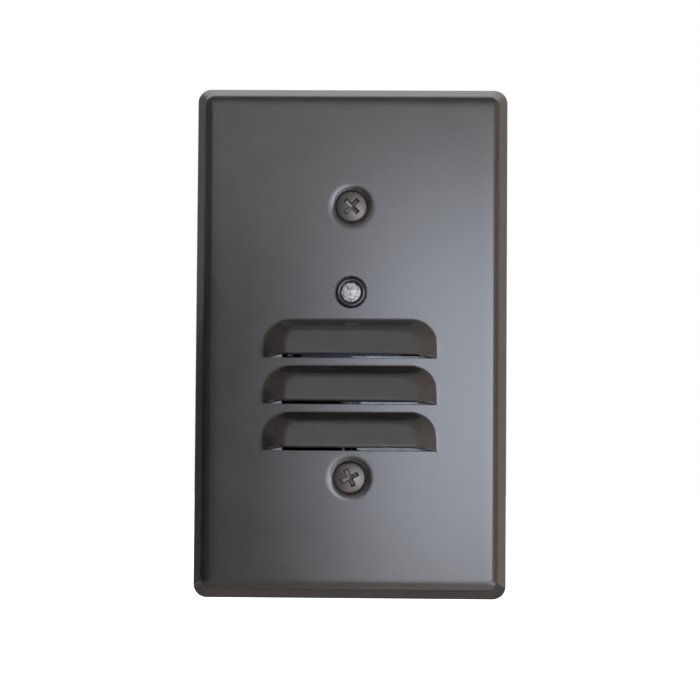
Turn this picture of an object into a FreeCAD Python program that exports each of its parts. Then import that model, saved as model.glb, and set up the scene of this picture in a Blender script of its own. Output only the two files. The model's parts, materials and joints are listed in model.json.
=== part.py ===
"""Step light: a louvred single-gang wall plate over a side-wired LED device with a dusk sensor.

Frame: +X to the right, +Y into the wall, +Z up. The origin is the centre of the plate on the
wall plane, so everything in front of the wall has a negative Y. Sizes are in millimetres and
angles in degrees.
"""
import FreeCAD, Part
import math
import os

V = FreeCAD.Vector
X_AXIS = V(1, 0, 0)
Y_AXIS = V(0, 1, 0)
SIDES = (-1, 1)
NEAR = 1e-3                  # two lengths closer than this count as equal
SLOT_FLAT = 0.01             # half of the short flat left on the round end of a slot

# ---------------------------------------------------------------- faceplate
PLATE_WIDTH = 69.85
PLATE_HEIGHT = 114.3
PLATE_DEPTH = 5.6            # wall plane to the flat face
SHEET = 0.9                  # metal thickness of the plate
RIM_DRAFT = 25.0             # lean of the rim from square
RIM_BEND = 2.2               # outside radius between rim and face
RIM_CORNER = 3.0             # plan corner radius at the wall
FACE_CORNER = 1.9            # plan corner radius at the face, inside the bend

# ------------------------------------------------------------------ louvres
HOOD_COUNT = 3
HOOD_WIDTH = 38.4
HOOD_HEIGHT = 8.4            # sheared edge up to the crown, at the face
HOOD_GAP = 1.9               # crown up to the sheared edge of the next louvre
HOOD_DEPTH = 3.1             # how far the lip stands out from the face
HOOD_SLOPE = 9.0             # the front leans back from lip to crown
HOOD_CHEEK = 4.2             # width of the sloping end
HOOD_SHOULDER = 1.9          # height of the sloping crown
HOOD_CORNER = 5.8            # crown corner radius at the face
HOOD_FRONT_CORNER = 3.4      # crown corner radius of the front
HOOD_CREASE = 2.0            # outside radius where the front turns into its ends
HOOD_ROOT = 0.6              # hollow radius where a hood leaves the face
MOUTH_RISE = 0.85            # the lip lies this far above the sheared edge
MIDDLE_CUT_Z = -13.86        # sheared edge of the middle louvre

# ----------------------------------------------- plate screws and their dimples
PLATE_SCREW_SPACING = 60.325
SCREW_RADIUS = 1.75          # number 6 machine screw
SCREW_HEAD_RADIUS = 3.42
COUNTERSINK_HALF_ANGLE = 41.0
HEAD_SINK = 0.75             # rim of the oval head below the face
HEAD_CROWN = 0.95            # height of the oval top above its rim
HEAD_RIM = 0.15              # cylindrical rim between cone and crown
PLATE_SCREW_LENGTH = 12.7
DIMPLE_RADIUS = 4.75
DIMPLE_EASE = 1.0            # outside radius where the face turns into a dimple
SEAT_GAP = 0.06              # head cone to countersink
HOLE_CLEARANCE = 0.25        # shank to the hole in the plate
THREAD_CLEARANCE = 0.05      # shank to a tapped hole

# ------------------------------------------------------------ mounting strap
STRAP_THICKNESS = 1.2
STRAP_LENGTH = 98.0
STRAP_EAR_WIDTH = 33.0
STRAP_LEDGE_X = 1.5          # strap body beyond the carrier's flange
STRAP_LEDGE_BOTTOM = 2.3
STRAP_LEDGE_TOP = 3.5        # strap body above the carrier's turret
STRAP_CORNER = 3.0
STRAP_THROAT = 2.0           # hollow radius where the ears widen into the body
WINDOW_CLEARANCE = 0.3
TAPPED_COLLAR_RADIUS = 2.9
TAPPED_COLLAR_HEIGHT = 1.6

BOX_SCREW_SPACING = 83.3     # standard device-box spacing
BOX_SLOT_WIDTH = 4.4
BOX_SLOT_LENGTH = 8.2
BOX_SCREW_HEAD_RADIUS = 3.7
BOX_SCREW_HEAD_HEIGHT = 2.1
BOX_SCREW_HEAD_EASE = 1.05
BOX_SCREW_LENGTH = 22.0
BOX_SCREW_NECK_RADIUS = 1.45 # plain neck through the strap, which keeps the retainer on
NECK_RUNOUT = 0.1            # neck beyond the back of the retainer
RETAINER_SIZE = 9.0
RETAINER_THICKNESS = 0.5

# ------------------------------------------------------------- rubber gasket
GASKET_CLEARANCE = 0.3       # to the plate's inside bend
GASKET_WIDTH = 2.5
GASKET_BASE = 2.2            # thickness of the wide base on the plate
GASKET_LIP_WIDTH = 1.1
GASKET_WALL_GAP = 0.2        # lip to the wall plane

# -------------------------------------------------------------- front carrier
CARRIER_LEDGE_X = 2.5        # flange beyond the turret's sides
CARRIER_LEDGE_Z = 0.7        # flange below the turret; the flange is centred on the plate
CARRIER_FLANGE = 3.0
CARRIER_CORNER = 3.0
TURRET_GAP = 1.1             # turret face behind the back of the plate
TURRET_SIDE = 4.8            # turret beyond the lens, at each side
TURRET_FOOT = 1.8            # turret below the lens
TURRET_HEAD = 6.0            # turret above the sensor's centre
TURRET_CORNER = 2.0
BEZEL = 1.2                  # wall in front of the lens flange
CARRIER_WALL = 1.2
CORE_DEPTH_INSET = 1.2       # face left in front of the cored pockets
NOTCH_CLEARANCE = 0.4        # turret to the back of a plate dimple

# ------------------------------------------------------- lens, seal, reflector
LENS_SIDE_INSET = 4.0        # lens edge inside the ends of the louvres
LENS_RISE = 1.66             # lens above the crown of the top louvre
LENS_DROP = 0.24             # lens below the lowest sheared edge
LENS_CORNER = 1.0
LENS_RECESS = 0.1            # lens face behind the turret face
LENS_FLANGE = 0.8            # overhang of the lens flange
LENS_FLANGE_THICKNESS = 0.9
SEAL_THICKNESS = 0.5
FIT = 0.15                   # side clearance of the lens in its window
POCKET_CLEARANCE = 0.3       # round the lens flange and the reflector
REFLECTOR_WALL = 0.9
REFLECTOR_RIM = 0.8
REFLECTOR_TAPER = 2.4        # each side, front to back
REFLECTOR_BOARD_GAP = 0.2
RIDGE_HEIGHT = 2.6
RIDGE_WIDTH = 4.6
LAMP_WINDOW_HEIGHT = 4.4

# -------------------------------------------------------------- circuit boards
BOARD_EDGE_CLEARANCE = 0.7   # board to the walls of the housing
BOARD_THICKNESS = 1.6
BOARD_CORNER = 1.0
LED_BOARD_Y = 4.4
DRIVER_BOARD_Y = 12.0
BOARD_NOTCH_CLEARANCE = 0.4  # board corners to the screw tubes
PEG_RADIUS = 1.0
PEG_POST_RADIUS = 1.8
PEG_HEIGHT = 1.0             # peg standing behind the board
PEG_INSET = 2.6              # pegs inside the board's sides
PEG_DROP = 3.0               # upper pegs below the top of the turret
PEG_TUBE_SPACING = 5.8       # lower pegs above the lower screw tubes
LEDS_PER_ROW = 4
LED_PITCH = 6.4
LED_WIDTH = 3.5
LED_HEIGHT = 2.8
LED_THICKNESS = 0.8
LED_ROW_RISE = 4.86          # LED row above the sheared edge it shines through
PIN_SIZE = 0.64
PIN_PITCH = 2.54
PIN_COUNT = 5
PIN_STUB = 0.9               # pin standing out past each board
PIN_CLEARANCE = 0.15
HEADER_THICKNESS = 2.5
HEADER_INSET = 3.8           # pins below the top edge of the boards

# ------------------------------------------------------------------ dusk sensor
SENSOR_RISE = 4.5            # sensor's centre above the lens
SENSOR_HOLE_RADIUS = 3.5
SENSOR_LENS_CLEARANCE = 0.15
SENSOR_DOME_RISE = 0.35      # crown of the sensor lens in front of the face
SENSOR_FLANGE_RADIUS = 4.5
SENSOR_FLANGE_THICKNESS = 0.8
SENSOR_SPIGOT_LENGTH = 0.6
SLEEVE_RADIUS = 3.6
SLEEVE_GAP = 0.1
CELL_RADIUS = 2.5
CELL_LENGTH = 6.4
CELL_FLANGE_RADIUS = 2.95
CELL_FLANGE_THICKNESS = 1.0
CELL_LENS_GAP = 0.4
LEAD_RADIUS = 0.25
LEAD_SPACING = 2.54

# ---------------------------------------------------------------- rear housing
HOUSING_BACK_Y = 29.0
HOUSING_WALL = 1.8
HOUSING_FLOOR = 2.0
HOUSING_DRAFT = 1.0
HOUSING_SCREW_INSET_X = 4.2  # screw tubes inside the flange
HOUSING_SCREW_INSET_Z = 4.1
HOUSING_TUBE_RADIUS = 2.9
HOUSING_SCREW_RADIUS = 1.3
HOUSING_HEAD_RADIUS = 2.3
HOUSING_HEAD_HEIGHT = 1.8
HOUSING_HEAD_EASE = 0.9
HOUSING_COUNTERBORE = 3.0
HOUSING_SCREW_TIP_Y = 0.6
HOUSING_EDGE = 1.2           # rounding of the back edge
RIB_THICKNESS = 1.6
RIB_REACH = 1.7
RIB_Z = 13.5
VENT_COUNT = 5
VENT_WIDTH = 1.4
VENT_LENGTH = 12.0
VENT_PITCH = 3.4
VENT_Z = -15.5

# ------------------------------------------------------------- screw terminals
TERMINAL_Z = 0.0
TERMINAL_DEPTH = 7.5         # terminal screws in front of the housing's back
POCKET_HALF_HEIGHT = 6.2
POCKET_HALF_LENGTH = 5.7
POCKET_DEPTH = 6.1           # pocket floor inside the side of the flange
POCKET_WALL = 1.5
TERMINAL_THICKNESS = 1.4
TERMINAL_LENGTH = 9.0
TERMINAL_HEIGHT = 9.2
TERMINAL_LEG = 2.4
LEG_STUB = 0.8               # leg standing out in front of the driver board
LEG_CLEARANCE = 0.15
CLAMP_GAP = 0.3              # closed clamp to the terminal
CLAMP_THICKNESS = 1.2
CLAMP_SIZE = 8.6
CLAMP_CORNER = 1.2
CLAMP_RIB_HEIGHT = 0.2
CLAMP_RIB_WIDTH = 0.8
CLAMP_HOLE_CLEARANCE = 0.25
TERMINAL_SCREW_RADIUS = 2.08
TERMINAL_HEAD_RADIUS = 4.0
TERMINAL_HEAD_HEIGHT = 2.3
TERMINAL_HEAD_EASE = 0.77
TERMINAL_SCREW_LENGTH = 6.35
HEAD_GAP = 0.1

# --------------------------------------------------------------- ground terminal
GROUND_Z = -35.2
GROUND_Y = 6.6
GROUND_TAB_HEIGHT = 8.0
GROUND_TAB_REACH = 11.2
GROUND_BEND = 1.0
GROUND_HEX = 7.9             # across the flats
HEX_SIDES = 6

# ---------------------------------------------------------- driver components
STANDOFF = 0.6               # component body above the board
DROPPER_SIZE = (18.0, 10.5, 8.5)      # width, stand and depth along z
DROPPER_AT = (0.0, 14.0)
DROPPER_LEAD_PITCH = 12.0
SMOOTHING_RADIUS = 5.0
SMOOTHING_LENGTH = 11.5
SMOOTHING_AT = (-7.6, -15.0)
SMOOTHING_LEAD_PITCH = 5.0
FUSE_RADIUS = 4.1
FUSE_LENGTH = 7.6
FUSE_AT = (5.4, -17.6)
FUSE_LEAD_PITCH = 5.08
VARISTOR_RADIUS = 4.4
VARISTOR_THICKNESS = 3.6
VARISTOR_AT = (11.8, -12.6)
VARISTOR_EASE = 0.9
VARISTOR_LEAD_PITCH = 5.0
BRIDGE_SIZE = (8.4, 3.2, 6.4)
BRIDGE_AT = (4.0, -2.5)
BRIDGE_LEAD_PITCH = 5.08
CHIP_SIZE = (4.9, 1.5, 3.9)
CHIP_AT = (6.0, -8.0)
CHIP_LEGS = 4                # on each long side
RESISTOR_SIZE = (3.2, 0.6, 1.6)
RESISTOR_COLUMNS = 2
RESISTOR_ROWS = 3
RESISTOR_PITCH_X = 6.0
RESISTOR_PITCH_Z = 4.0
RESISTOR_AT = (-9.0, 2.0)

# ------------------------------------------------------------- derived places
FACE_Y = -PLATE_DEPTH
SHEET_BACK_Y = FACE_Y + SHEET
HEAD_RIM_Y = FACE_Y + HEAD_SINK
STRAP_FRONT_Y = -STRAP_THICKNESS
HOOD_PITCH = HOOD_HEIGHT + HOOD_GAP
CUT_LINES = [MIDDLE_CUT_Z + (i - (HOOD_COUNT - 1) / 2) * HOOD_PITCH for i in range(HOOD_COUNT)]
LENS_WIDTH = HOOD_WIDTH - 2 * LENS_SIDE_INSET
LENS_TOP = CUT_LINES[-1] + HOOD_HEIGHT + LENS_RISE
LENS_BOTTOM = CUT_LINES[0] - LENS_DROP
LENS_Z = (LENS_TOP + LENS_BOTTOM) / 2
LENS_HEIGHT = LENS_TOP - LENS_BOTTOM
SENSOR_Z = LENS_TOP + SENSOR_RISE
TURRET_FRONT_Y = SHEET_BACK_Y + TURRET_GAP
TURRET_WIDTH = LENS_WIDTH + 2 * TURRET_SIDE
TURRET_TOP = SENSOR_Z + TURRET_HEAD
TURRET_BOTTOM = LENS_BOTTOM - TURRET_FOOT
TURRET_Z = (TURRET_TOP + TURRET_BOTTOM) / 2
TURRET_HEIGHT = TURRET_TOP - TURRET_BOTTOM
CARRIER_WIDTH = TURRET_WIDTH + 2 * CARRIER_LEDGE_X
CARRIER_HEIGHT = 2 * (max(TURRET_TOP, -TURRET_BOTTOM) + CARRIER_LEDGE_Z)
STRAP_BODY_WIDTH = CARRIER_WIDTH + 2 * STRAP_LEDGE_X
STRAP_BODY_TOP = TURRET_TOP + STRAP_LEDGE_TOP
STRAP_BODY_BOTTOM = -CARRIER_HEIGHT / 2 - STRAP_LEDGE_BOTTOM
BOARD_WIDTH = CARRIER_WIDTH - 2 * (HOUSING_WALL + BOARD_EDGE_CLEARANCE)
BOARD_HEIGHT = CARRIER_HEIGHT - 2 * (HOUSING_WALL + BOARD_EDGE_CLEARANCE)
HOUSING_SCREW_X = CARRIER_WIDTH / 2 - HOUSING_SCREW_INSET_X
HOUSING_SCREW_Z = CARRIER_HEIGHT / 2 - HOUSING_SCREW_INSET_Z
PEG_X = BOARD_WIDTH / 2 - PEG_INSET
PEG_TOP_Z = TURRET_TOP - PEG_DROP
PEG_BOTTOM_Z = PEG_TUBE_SPACING - HOUSING_SCREW_Z
HEADER_Z = BOARD_HEIGHT / 2 - HEADER_INSET
SEAT_Y = DRIVER_BOARD_Y + BOARD_THICKNESS
REBATE_Y = TURRET_FRONT_Y + BEZEL
LENS_FLANGE_Y = REBATE_Y + SEAL_THICKNESS
REFLECTOR_Y = LENS_FLANGE_Y + LENS_FLANGE_THICKNESS
POCKET_WIDTH = LENS_WIDTH + 2 * (LENS_FLANGE + POCKET_CLEARANCE)
POCKET_HEIGHT = LENS_HEIGHT + 2 * (LENS_FLANGE + POCKET_CLEARANCE)
LED_ROW_Z = [z + LED_ROW_RISE for z in CUT_LINES]
TERMINAL_Y = HOUSING_BACK_Y - TERMINAL_DEPTH
POCKET_FRONT_Y = TERMINAL_Y - POCKET_HALF_LENGTH
POCKET_FLOOR_X = CARRIER_WIDTH / 2 - POCKET_DEPTH
CLAMP_X = POCKET_FLOOR_X + TERMINAL_THICKNESS + CLAMP_GAP
TERMINAL_HEAD_X = CLAMP_X + CLAMP_THICKNESS + HEAD_GAP
GROUND_FACE_X = STRAP_EAR_WIDTH / 2
GROUND_CLAMP_X = GROUND_FACE_X + CLAMP_GAP
GROUND_HEAD_X = GROUND_CLAMP_X + CLAMP_THICKNESS + HEAD_GAP


def tan(degrees):
    return math.tan(math.radians(degrees))


def cos(degrees):
    return math.cos(math.radians(degrees))


def wire(edges):
    return Part.Wire([edge.toShape() for edge in edges])


def box(x0, x1, y0, y1, z0, z1):
    return Part.makeBox(x1 - x0, y1 - y0, z1 - z0, V(x0, y0, z0))


def rod_y(radius, y0, y1, x=0.0, z=0.0):
    return Part.makeCylinder(radius, y1 - y0, V(x, y0, z), Y_AXIS)


def rod_x(radius, x0, x1, y, z):
    return Part.makeCylinder(radius, x1 - x0, V(x0, y, z), X_AXIS)


def rounded_wire(width, height, radius, y, x=0.0, z=0.0):
    """Rectangle with quarter-circle corners, in a plane parallel to the wall."""
    x0, x1 = x - width / 2, x + width / 2
    z0, z1 = z - height / 2, z + height / 2
    k = radius * (1 - math.sqrt(0.5))
    r = radius
    return wire([
        Part.LineSegment(V(x0 + r, y, z0), V(x1 - r, y, z0)),
        Part.Arc(V(x1 - r, y, z0), V(x1 - k, y, z0 + k), V(x1, y, z0 + r)),
        Part.LineSegment(V(x1, y, z0 + r), V(x1, y, z1 - r)),
        Part.Arc(V(x1, y, z1 - r), V(x1 - k, y, z1 - k), V(x1 - r, y, z1)),
        Part.LineSegment(V(x1 - r, y, z1), V(x0 + r, y, z1)),
        Part.Arc(V(x0 + r, y, z1), V(x0 + k, y, z1 - k), V(x0, y, z1 - r)),
        Part.LineSegment(V(x0, y, z1 - r), V(x0, y, z0 + r)),
        Part.Arc(V(x0, y, z0 + r), V(x0 + k, y, z0 + k), V(x0 + r, y, z0)),
    ])


def rounded_slab(width, height, radius, y0, y1, x=0.0, z=0.0):
    face = Part.Face(rounded_wire(width, height, radius, y0, x, z))
    return face.extrude(V(0, y1 - y0, 0))


def revolved(profile, x, z):
    """Turn (radius, y) points about the Y axis and move the solid to x, z."""
    points = [V(r, y, 0) for r, y in profile]
    face = Part.Face(Part.makePolygon(points + points[:1]))
    solid = face.revolve(V(0, 0, 0), Y_AXIS, 360)
    solid.translate(V(x, 0, z))
    return solid


def in_plane(edge, y):
    bounds = edge.BoundBox
    return abs(bounds.YMin - y) < NEAR and abs(bounds.YMax - y) < NEAR


def slot_radius(width):
    """Corner radius that turns a rounded slab into a slot with round ends."""
    return width / 2 - SLOT_FLAT


def only_solid(shape):
    return shape.Solids[0] if len(shape.Solids) == 1 else shape


# ------------------------------------------------------------------- faceplate
def pan(inset, depth, bend):
    """Drafted tray outline of the plate: open at the wall, rounded into its face."""
    run = 2 * depth * tan(RIM_DRAFT)
    width = PLATE_WIDTH - 2 * inset
    height = PLATE_HEIGHT - 2 * inset
    base = rounded_wire(width, height, RIM_CORNER, 0)
    front = rounded_wire(width - run, height - run, FACE_CORNER, -depth)
    tray = Part.makeLoft([base, front], True, True)
    return tray.makeFillet(bend, [edge for edge in tray.Edges if in_plane(edge, -depth)])


def hood_outline(place, half_width, top, bottom, corner):
    """D-shaped outline: straight foot and ends, large corners at the crown."""
    k = corner * (1 - math.sqrt(0.5))
    w, r = half_width, corner
    return wire([
        Part.LineSegment(place(-w, bottom), place(w, bottom)),
        Part.LineSegment(place(w, bottom), place(w, top - r)),
        Part.Arc(place(w, top - r), place(w - k, top - k), place(w - r, top)),
        Part.LineSegment(place(w - r, top), place(r - w, top)),
        Part.Arc(place(r - w, top), place(k - w, top - k), place(-w, top - r)),
        Part.LineSegment(place(-w, top - r), place(-w, bottom)),
    ])


def hood(cut_z, skin, bottom):
    """One pressed louvre as a solid blister; skin is how far it lies inside the outer surface."""
    level = FACE_Y + skin
    lip_z = cut_z + MOUTH_RISE
    crown_rise = HOOD_DEPTH - (HOOD_HEIGHT - HOOD_SHOULDER - MOUTH_RISE) * tan(HOOD_SLOPE)
    cheek_angle = math.atan2(HOOD_DEPTH, HOOD_CHEEK)
    crown_angle = math.atan2(crown_rise, HOOD_SHOULDER)
    side_inset = skin * math.tan(cheek_angle / 2)
    crown_inset = skin * math.tan(crown_angle / 2)

    def at_face(x, z):
        return V(x, level, z)

    def at_front(x, z):
        return V(x, level - HOOD_DEPTH + (z - lip_z) * tan(HOOD_SLOPE), z)

    half = HOOD_WIDTH / 2 - side_inset
    top = cut_z + HOOD_HEIGHT - crown_inset
    foot = hood_outline(at_face, half, top, bottom, HOOD_CORNER - side_inset)
    front = hood_outline(at_front, half - HOOD_CHEEK, top - HOOD_SHOULDER, bottom,
                         HOOD_FRONT_CORNER - side_inset)
    blister = Part.makeLoft([foot, front], True, True)
    creases = []
    for edge in blister.Edges:
        bounds = edge.BoundBox
        if bounds.YMax < level - crown_rise / 2 and bounds.ZMax > bottom + SHEET:
            creases.append(edge)
    return blister.makeFillet(HOOD_CREASE - skin, creases)


def rooted(body, radius, level):
    """Round the hollow line where the louvres leave the face."""
    reach = HOOD_WIDTH / 2 + SHEET
    roots = []
    for edge in body.Edges:
        bounds = edge.BoundBox
        inside = max(abs(bounds.XMin), abs(bounds.XMax)) < reach and bounds.XLength < HOOD_WIDTH - SHEET
        crown_or_end = bounds.ZLength > SHEET or bounds.ZMax > CUT_LINES[0] + HOOD_HEIGHT / 2
        if in_plane(edge, level) and inside and crown_or_end:
            roots.append(edge)
    return body.makeFillet(radius, roots)


def mouth_cut(cut_z):
    """Everything in front of the face that lies below the leaning mouth of a louvre."""
    reach = 2 * HOOD_DEPTH
    width = HOOD_WIDTH + 4 * SHEET
    drop = HOOD_GAP
    corners = [
        V(-width / 2, FACE_Y, cut_z),
        V(-width / 2, FACE_Y - reach, cut_z + reach * MOUTH_RISE / HOOD_DEPTH),
        V(-width / 2, FACE_Y - reach, cut_z - drop),
        V(-width / 2, FACE_Y, cut_z - drop),
    ]
    return Part.Face(Part.makePolygon(corners + corners[:1])).extrude(V(width, 0, 0))


def dimple_profile(skin):
    """Pressed countersink; skin widens it to the back of the sheet. Points are (radius, y)."""
    half = COUNTERSINK_HALF_ANGLE
    slant = 1 / cos(half)
    seat_radius = SCREW_HEAD_RADIUS + SEAT_GAP * slant + skin * (slant - tan(half))
    wall_radius = DIMPLE_RADIUS + skin * tan((90 - half) / 2)
    top_y = FACE_Y + skin
    seat_y = HEAD_RIM_Y + skin
    deep_radius = SCREW_RADIUS + HOLE_CLEARANCE
    deep_y = seat_y + (seat_radius - deep_radius) / tan(half)
    return [(0, top_y), (wall_radius, top_y), (seat_radius, seat_y), (deep_radius, deep_y), (0, deep_y)]


def dimple_edges(body):
    """The circles where the face turns into its dimples."""
    circles = []
    for edge in body.Edges:
        bounds = edge.BoundBox
        above = abs(abs(bounds.Center.z) - PLATE_SCREW_SPACING / 2) < NEAR
        if above and in_plane(edge, FACE_Y) and abs(bounds.XLength - 2 * DIMPLE_RADIUS) < NEAR:
            circles.append(edge)
    return circles


def faceplate():
    outside = pan(0, PLATE_DEPTH, RIM_BEND)
    inside = pan(SHEET / cos(RIM_DRAFT), PLATE_DEPTH - SHEET, RIM_BEND - SHEET)
    foot_reach = HOOD_GAP / 2
    for cut_z in CUT_LINES:
        outside = outside.fuse(hood(cut_z, 0, cut_z - foot_reach))
        inside = inside.fuse(hood(cut_z, SHEET, cut_z))
    outside = rooted(outside.removeSplitter(), HOOD_ROOT, FACE_Y)
    for cut_z in CUT_LINES:
        outside = outside.cut(mouth_cut(cut_z))
    for side in SIDES:
        z = side * PLATE_SCREW_SPACING / 2
        outside = outside.cut(revolved(dimple_profile(0), 0, z))
        inside = inside.cut(revolved(dimple_profile(SHEET), 0, z))
    outside = outside.makeFillet(DIMPLE_EASE, dimple_edges(outside))
    plate = outside.cut(inside)
    for side in SIDES:
        z = side * PLATE_SCREW_SPACING / 2
        plate = plate.cut(rod_y(SCREW_RADIUS + HOLE_CLEARANCE, FACE_Y, 0, 0, z))
    plate = plate.cut(rod_y(SENSOR_HOLE_RADIUS, FACE_Y - SHEET, 0, 0, SENSOR_Z))
    return only_solid(plate.removeSplitter())


def oval_head_screw(side):
    """Countersunk oval-head screw along Y, with its rim a little below the face."""
    z = side * PLATE_SCREW_SPACING / 2
    cone_depth = (SCREW_HEAD_RADIUS - SCREW_RADIUS) / tan(COUNTERSINK_HALF_ANGLE)
    cone = Part.makeCone(SCREW_HEAD_RADIUS, SCREW_RADIUS, cone_depth, V(0, HEAD_RIM_Y, z), Y_AXIS)
    rim = rod_y(SCREW_HEAD_RADIUS, HEAD_RIM_Y - HEAD_RIM, HEAD_RIM_Y, 0, z)
    sphere_radius = (SCREW_HEAD_RADIUS ** 2 + HEAD_CROWN ** 2) / (2 * HEAD_CROWN)
    crown_y = HEAD_RIM_Y - HEAD_RIM
    sphere = Part.makeSphere(sphere_radius, V(0, crown_y - HEAD_CROWN + sphere_radius, z))
    crown = sphere.common(rod_y(SCREW_HEAD_RADIUS, crown_y - 2 * HEAD_CROWN, crown_y, 0, z))
    shank = rod_y(SCREW_RADIUS, HEAD_RIM_Y + cone_depth, HEAD_RIM_Y + PLATE_SCREW_LENGTH, 0, z)
    return only_solid(cone.fuse([rim, crown, shank]).removeSplitter())


def plate_gasket():
    """Rubber ring behind the rim: a wide base on the plate and a thin lip towards the wall."""
    inner_bend = (RIM_BEND - SHEET) * tan((90 - RIM_DRAFT) / 2)
    inset = SHEET / cos(RIM_DRAFT) + (PLATE_DEPTH - SHEET) * tan(RIM_DRAFT) + inner_bend
    inset += GASKET_CLEARANCE
    width = PLATE_WIDTH - 2 * inset
    height = PLATE_HEIGHT - 2 * inset
    base_y = SHEET_BACK_Y + GASKET_BASE
    middle = (GASKET_WIDTH - GASKET_LIP_WIDTH)
    ring = rounded_slab(width, height, RIM_CORNER, SHEET_BACK_Y, base_y)
    ring = ring.cut(rounded_slab(width - 2 * GASKET_WIDTH, height - 2 * GASKET_WIDTH,
                                 RIM_CORNER - GASKET_LIP_WIDTH, SHEET_BACK_Y, base_y))
    lip = rounded_slab(width - middle, height - middle, RIM_CORNER, base_y, -GASKET_WALL_GAP)
    shrink = middle + 2 * GASKET_LIP_WIDTH
    lip = lip.cut(rounded_slab(width - shrink, height - shrink, RIM_CORNER - GASKET_LIP_WIDTH,
                               base_y, -GASKET_WALL_GAP))
    return only_solid(ring.fuse(lip).removeSplitter())


# ------------------------------------------------------------- mounting strap
def mounting_strap():
    ears = rounded_slab(STRAP_EAR_WIDTH, STRAP_LENGTH, STRAP_CORNER, STRAP_FRONT_Y, 0)
    body_height = STRAP_BODY_TOP - STRAP_BODY_BOTTOM
    body_z = (STRAP_BODY_TOP + STRAP_BODY_BOTTOM) / 2
    body = rounded_slab(STRAP_BODY_WIDTH, body_height, STRAP_CORNER, STRAP_FRONT_Y, 0, 0, body_z)
    strap = ears.fuse(body).removeSplitter()
    throats = []
    for edge in strap.Edges:
        middle = edge.BoundBox.Center
        at_ear = abs(abs(middle.x) - STRAP_EAR_WIDTH / 2) < NEAR
        at_body = min(abs(middle.z - STRAP_BODY_TOP), abs(middle.z - STRAP_BODY_BOTTOM)) < NEAR
        if at_ear and at_body and abs(edge.Length - STRAP_THICKNESS) < NEAR:
            throats.append(edge)
    strap = strap.makeFillet(STRAP_THROAT, throats)
    window = rounded_slab(TURRET_WIDTH + 2 * WINDOW_CLEARANCE, TURRET_HEIGHT + 2 * WINDOW_CLEARANCE,
                          TURRET_CORNER + WINDOW_CLEARANCE, STRAP_FRONT_Y, 0, 0, TURRET_Z)
    strap = strap.cut(window)
    for side in SIDES:
        screw_z = side * PLATE_SCREW_SPACING / 2
        strap = strap.fuse(rod_y(TAPPED_COLLAR_RADIUS, STRAP_FRONT_Y, TAPPED_COLLAR_HEIGHT, 0, screw_z))
        strap = strap.cut(rod_y(SCREW_RADIUS + THREAD_CLEARANCE, STRAP_FRONT_Y,
                                TAPPED_COLLAR_HEIGHT, 0, screw_z))
        slot_z = side * BOX_SCREW_SPACING / 2
        strap = strap.cut(rounded_slab(BOX_SLOT_LENGTH, BOX_SLOT_WIDTH, slot_radius(BOX_SLOT_WIDTH),
                                       STRAP_FRONT_Y, 0, 0, slot_z))
    strap = strap.fuse(ground_tab()).removeSplitter()
    strap = strap.cut(rod_x(TERMINAL_SCREW_RADIUS + THREAD_CLEARANCE, -GROUND_FACE_X,
                            STRAP_THICKNESS - GROUND_FACE_X, GROUND_Y, GROUND_Z))
    return only_solid(strap)


def ground_tab():
    """Ear folded back from the strap's left edge, tapped for the ground screw."""
    z0 = GROUND_Z - GROUND_TAB_HEIGHT / 2
    z1 = GROUND_Z + GROUND_TAB_HEIGHT / 2
    tab = box(-GROUND_FACE_X, STRAP_THICKNESS - GROUND_FACE_X, STRAP_FRONT_Y, GROUND_TAB_REACH, z0, z1)
    bend = [edge for edge in tab.Edges if edge.BoundBox.Center.distanceToPoint(
        V(-GROUND_FACE_X, STRAP_FRONT_Y, GROUND_Z)) < NEAR]
    tab = tab.makeFillet(GROUND_BEND, bend)
    corners = [edge for edge in tab.Edges if edge.BoundBox.YMin > GROUND_TAB_REACH - NEAR
               and edge.BoundBox.ZLength < NEAR]
    return tab.makeFillet(STRAP_CORNER / 2, corners)


def box_screw(side):
    """Long pan-head screw that holds the strap to the wall box, with a plain neck under its head."""
    z = side * BOX_SCREW_SPACING / 2
    seat_y = STRAP_FRONT_Y - HEAD_GAP
    neck_y = RETAINER_THICKNESS + NECK_RUNOUT
    head = rod_y(BOX_SCREW_HEAD_RADIUS, seat_y - BOX_SCREW_HEAD_HEIGHT, seat_y, 0, z)
    rim = [edge for edge in head.Edges if in_plane(edge, seat_y - BOX_SCREW_HEAD_HEIGHT)]
    head = head.makeChamfer(BOX_SCREW_HEAD_EASE, rim)
    neck = rod_y(BOX_SCREW_NECK_RADIUS, seat_y, neck_y, 0, z)
    shank = rod_y(SCREW_RADIUS, neck_y, seat_y + BOX_SCREW_LENGTH, 0, z)
    return only_solid(head.fuse([neck, shank]).removeSplitter())


def box_screw_retainers():
    """Fibre squares pushed on behind the strap, which keep the box screws from falling out."""
    squares = []
    for side in SIDES:
        z = side * BOX_SCREW_SPACING / 2
        square = rounded_slab(RETAINER_SIZE, RETAINER_SIZE, RETAINER_THICKNESS, 0,
                              RETAINER_THICKNESS, 0, z)
        squares.append(square.cut(rod_y(BOX_SCREW_NECK_RADIUS + 2 * THREAD_CLEARANCE, 0,
                                        RETAINER_THICKNESS, 0, z)))
    return Part.makeCompound(squares)


# -------------------------------------------------------------- front carrier
def corner_points(half_x, half_z):
    return [(sx * half_x, sz * half_z) for sx in SIDES for sz in SIDES]


def peg_points():
    return [(side * PEG_X, z) for side in SIDES for z in (PEG_BOTTOM_Z, PEG_TOP_Z)]


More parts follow.
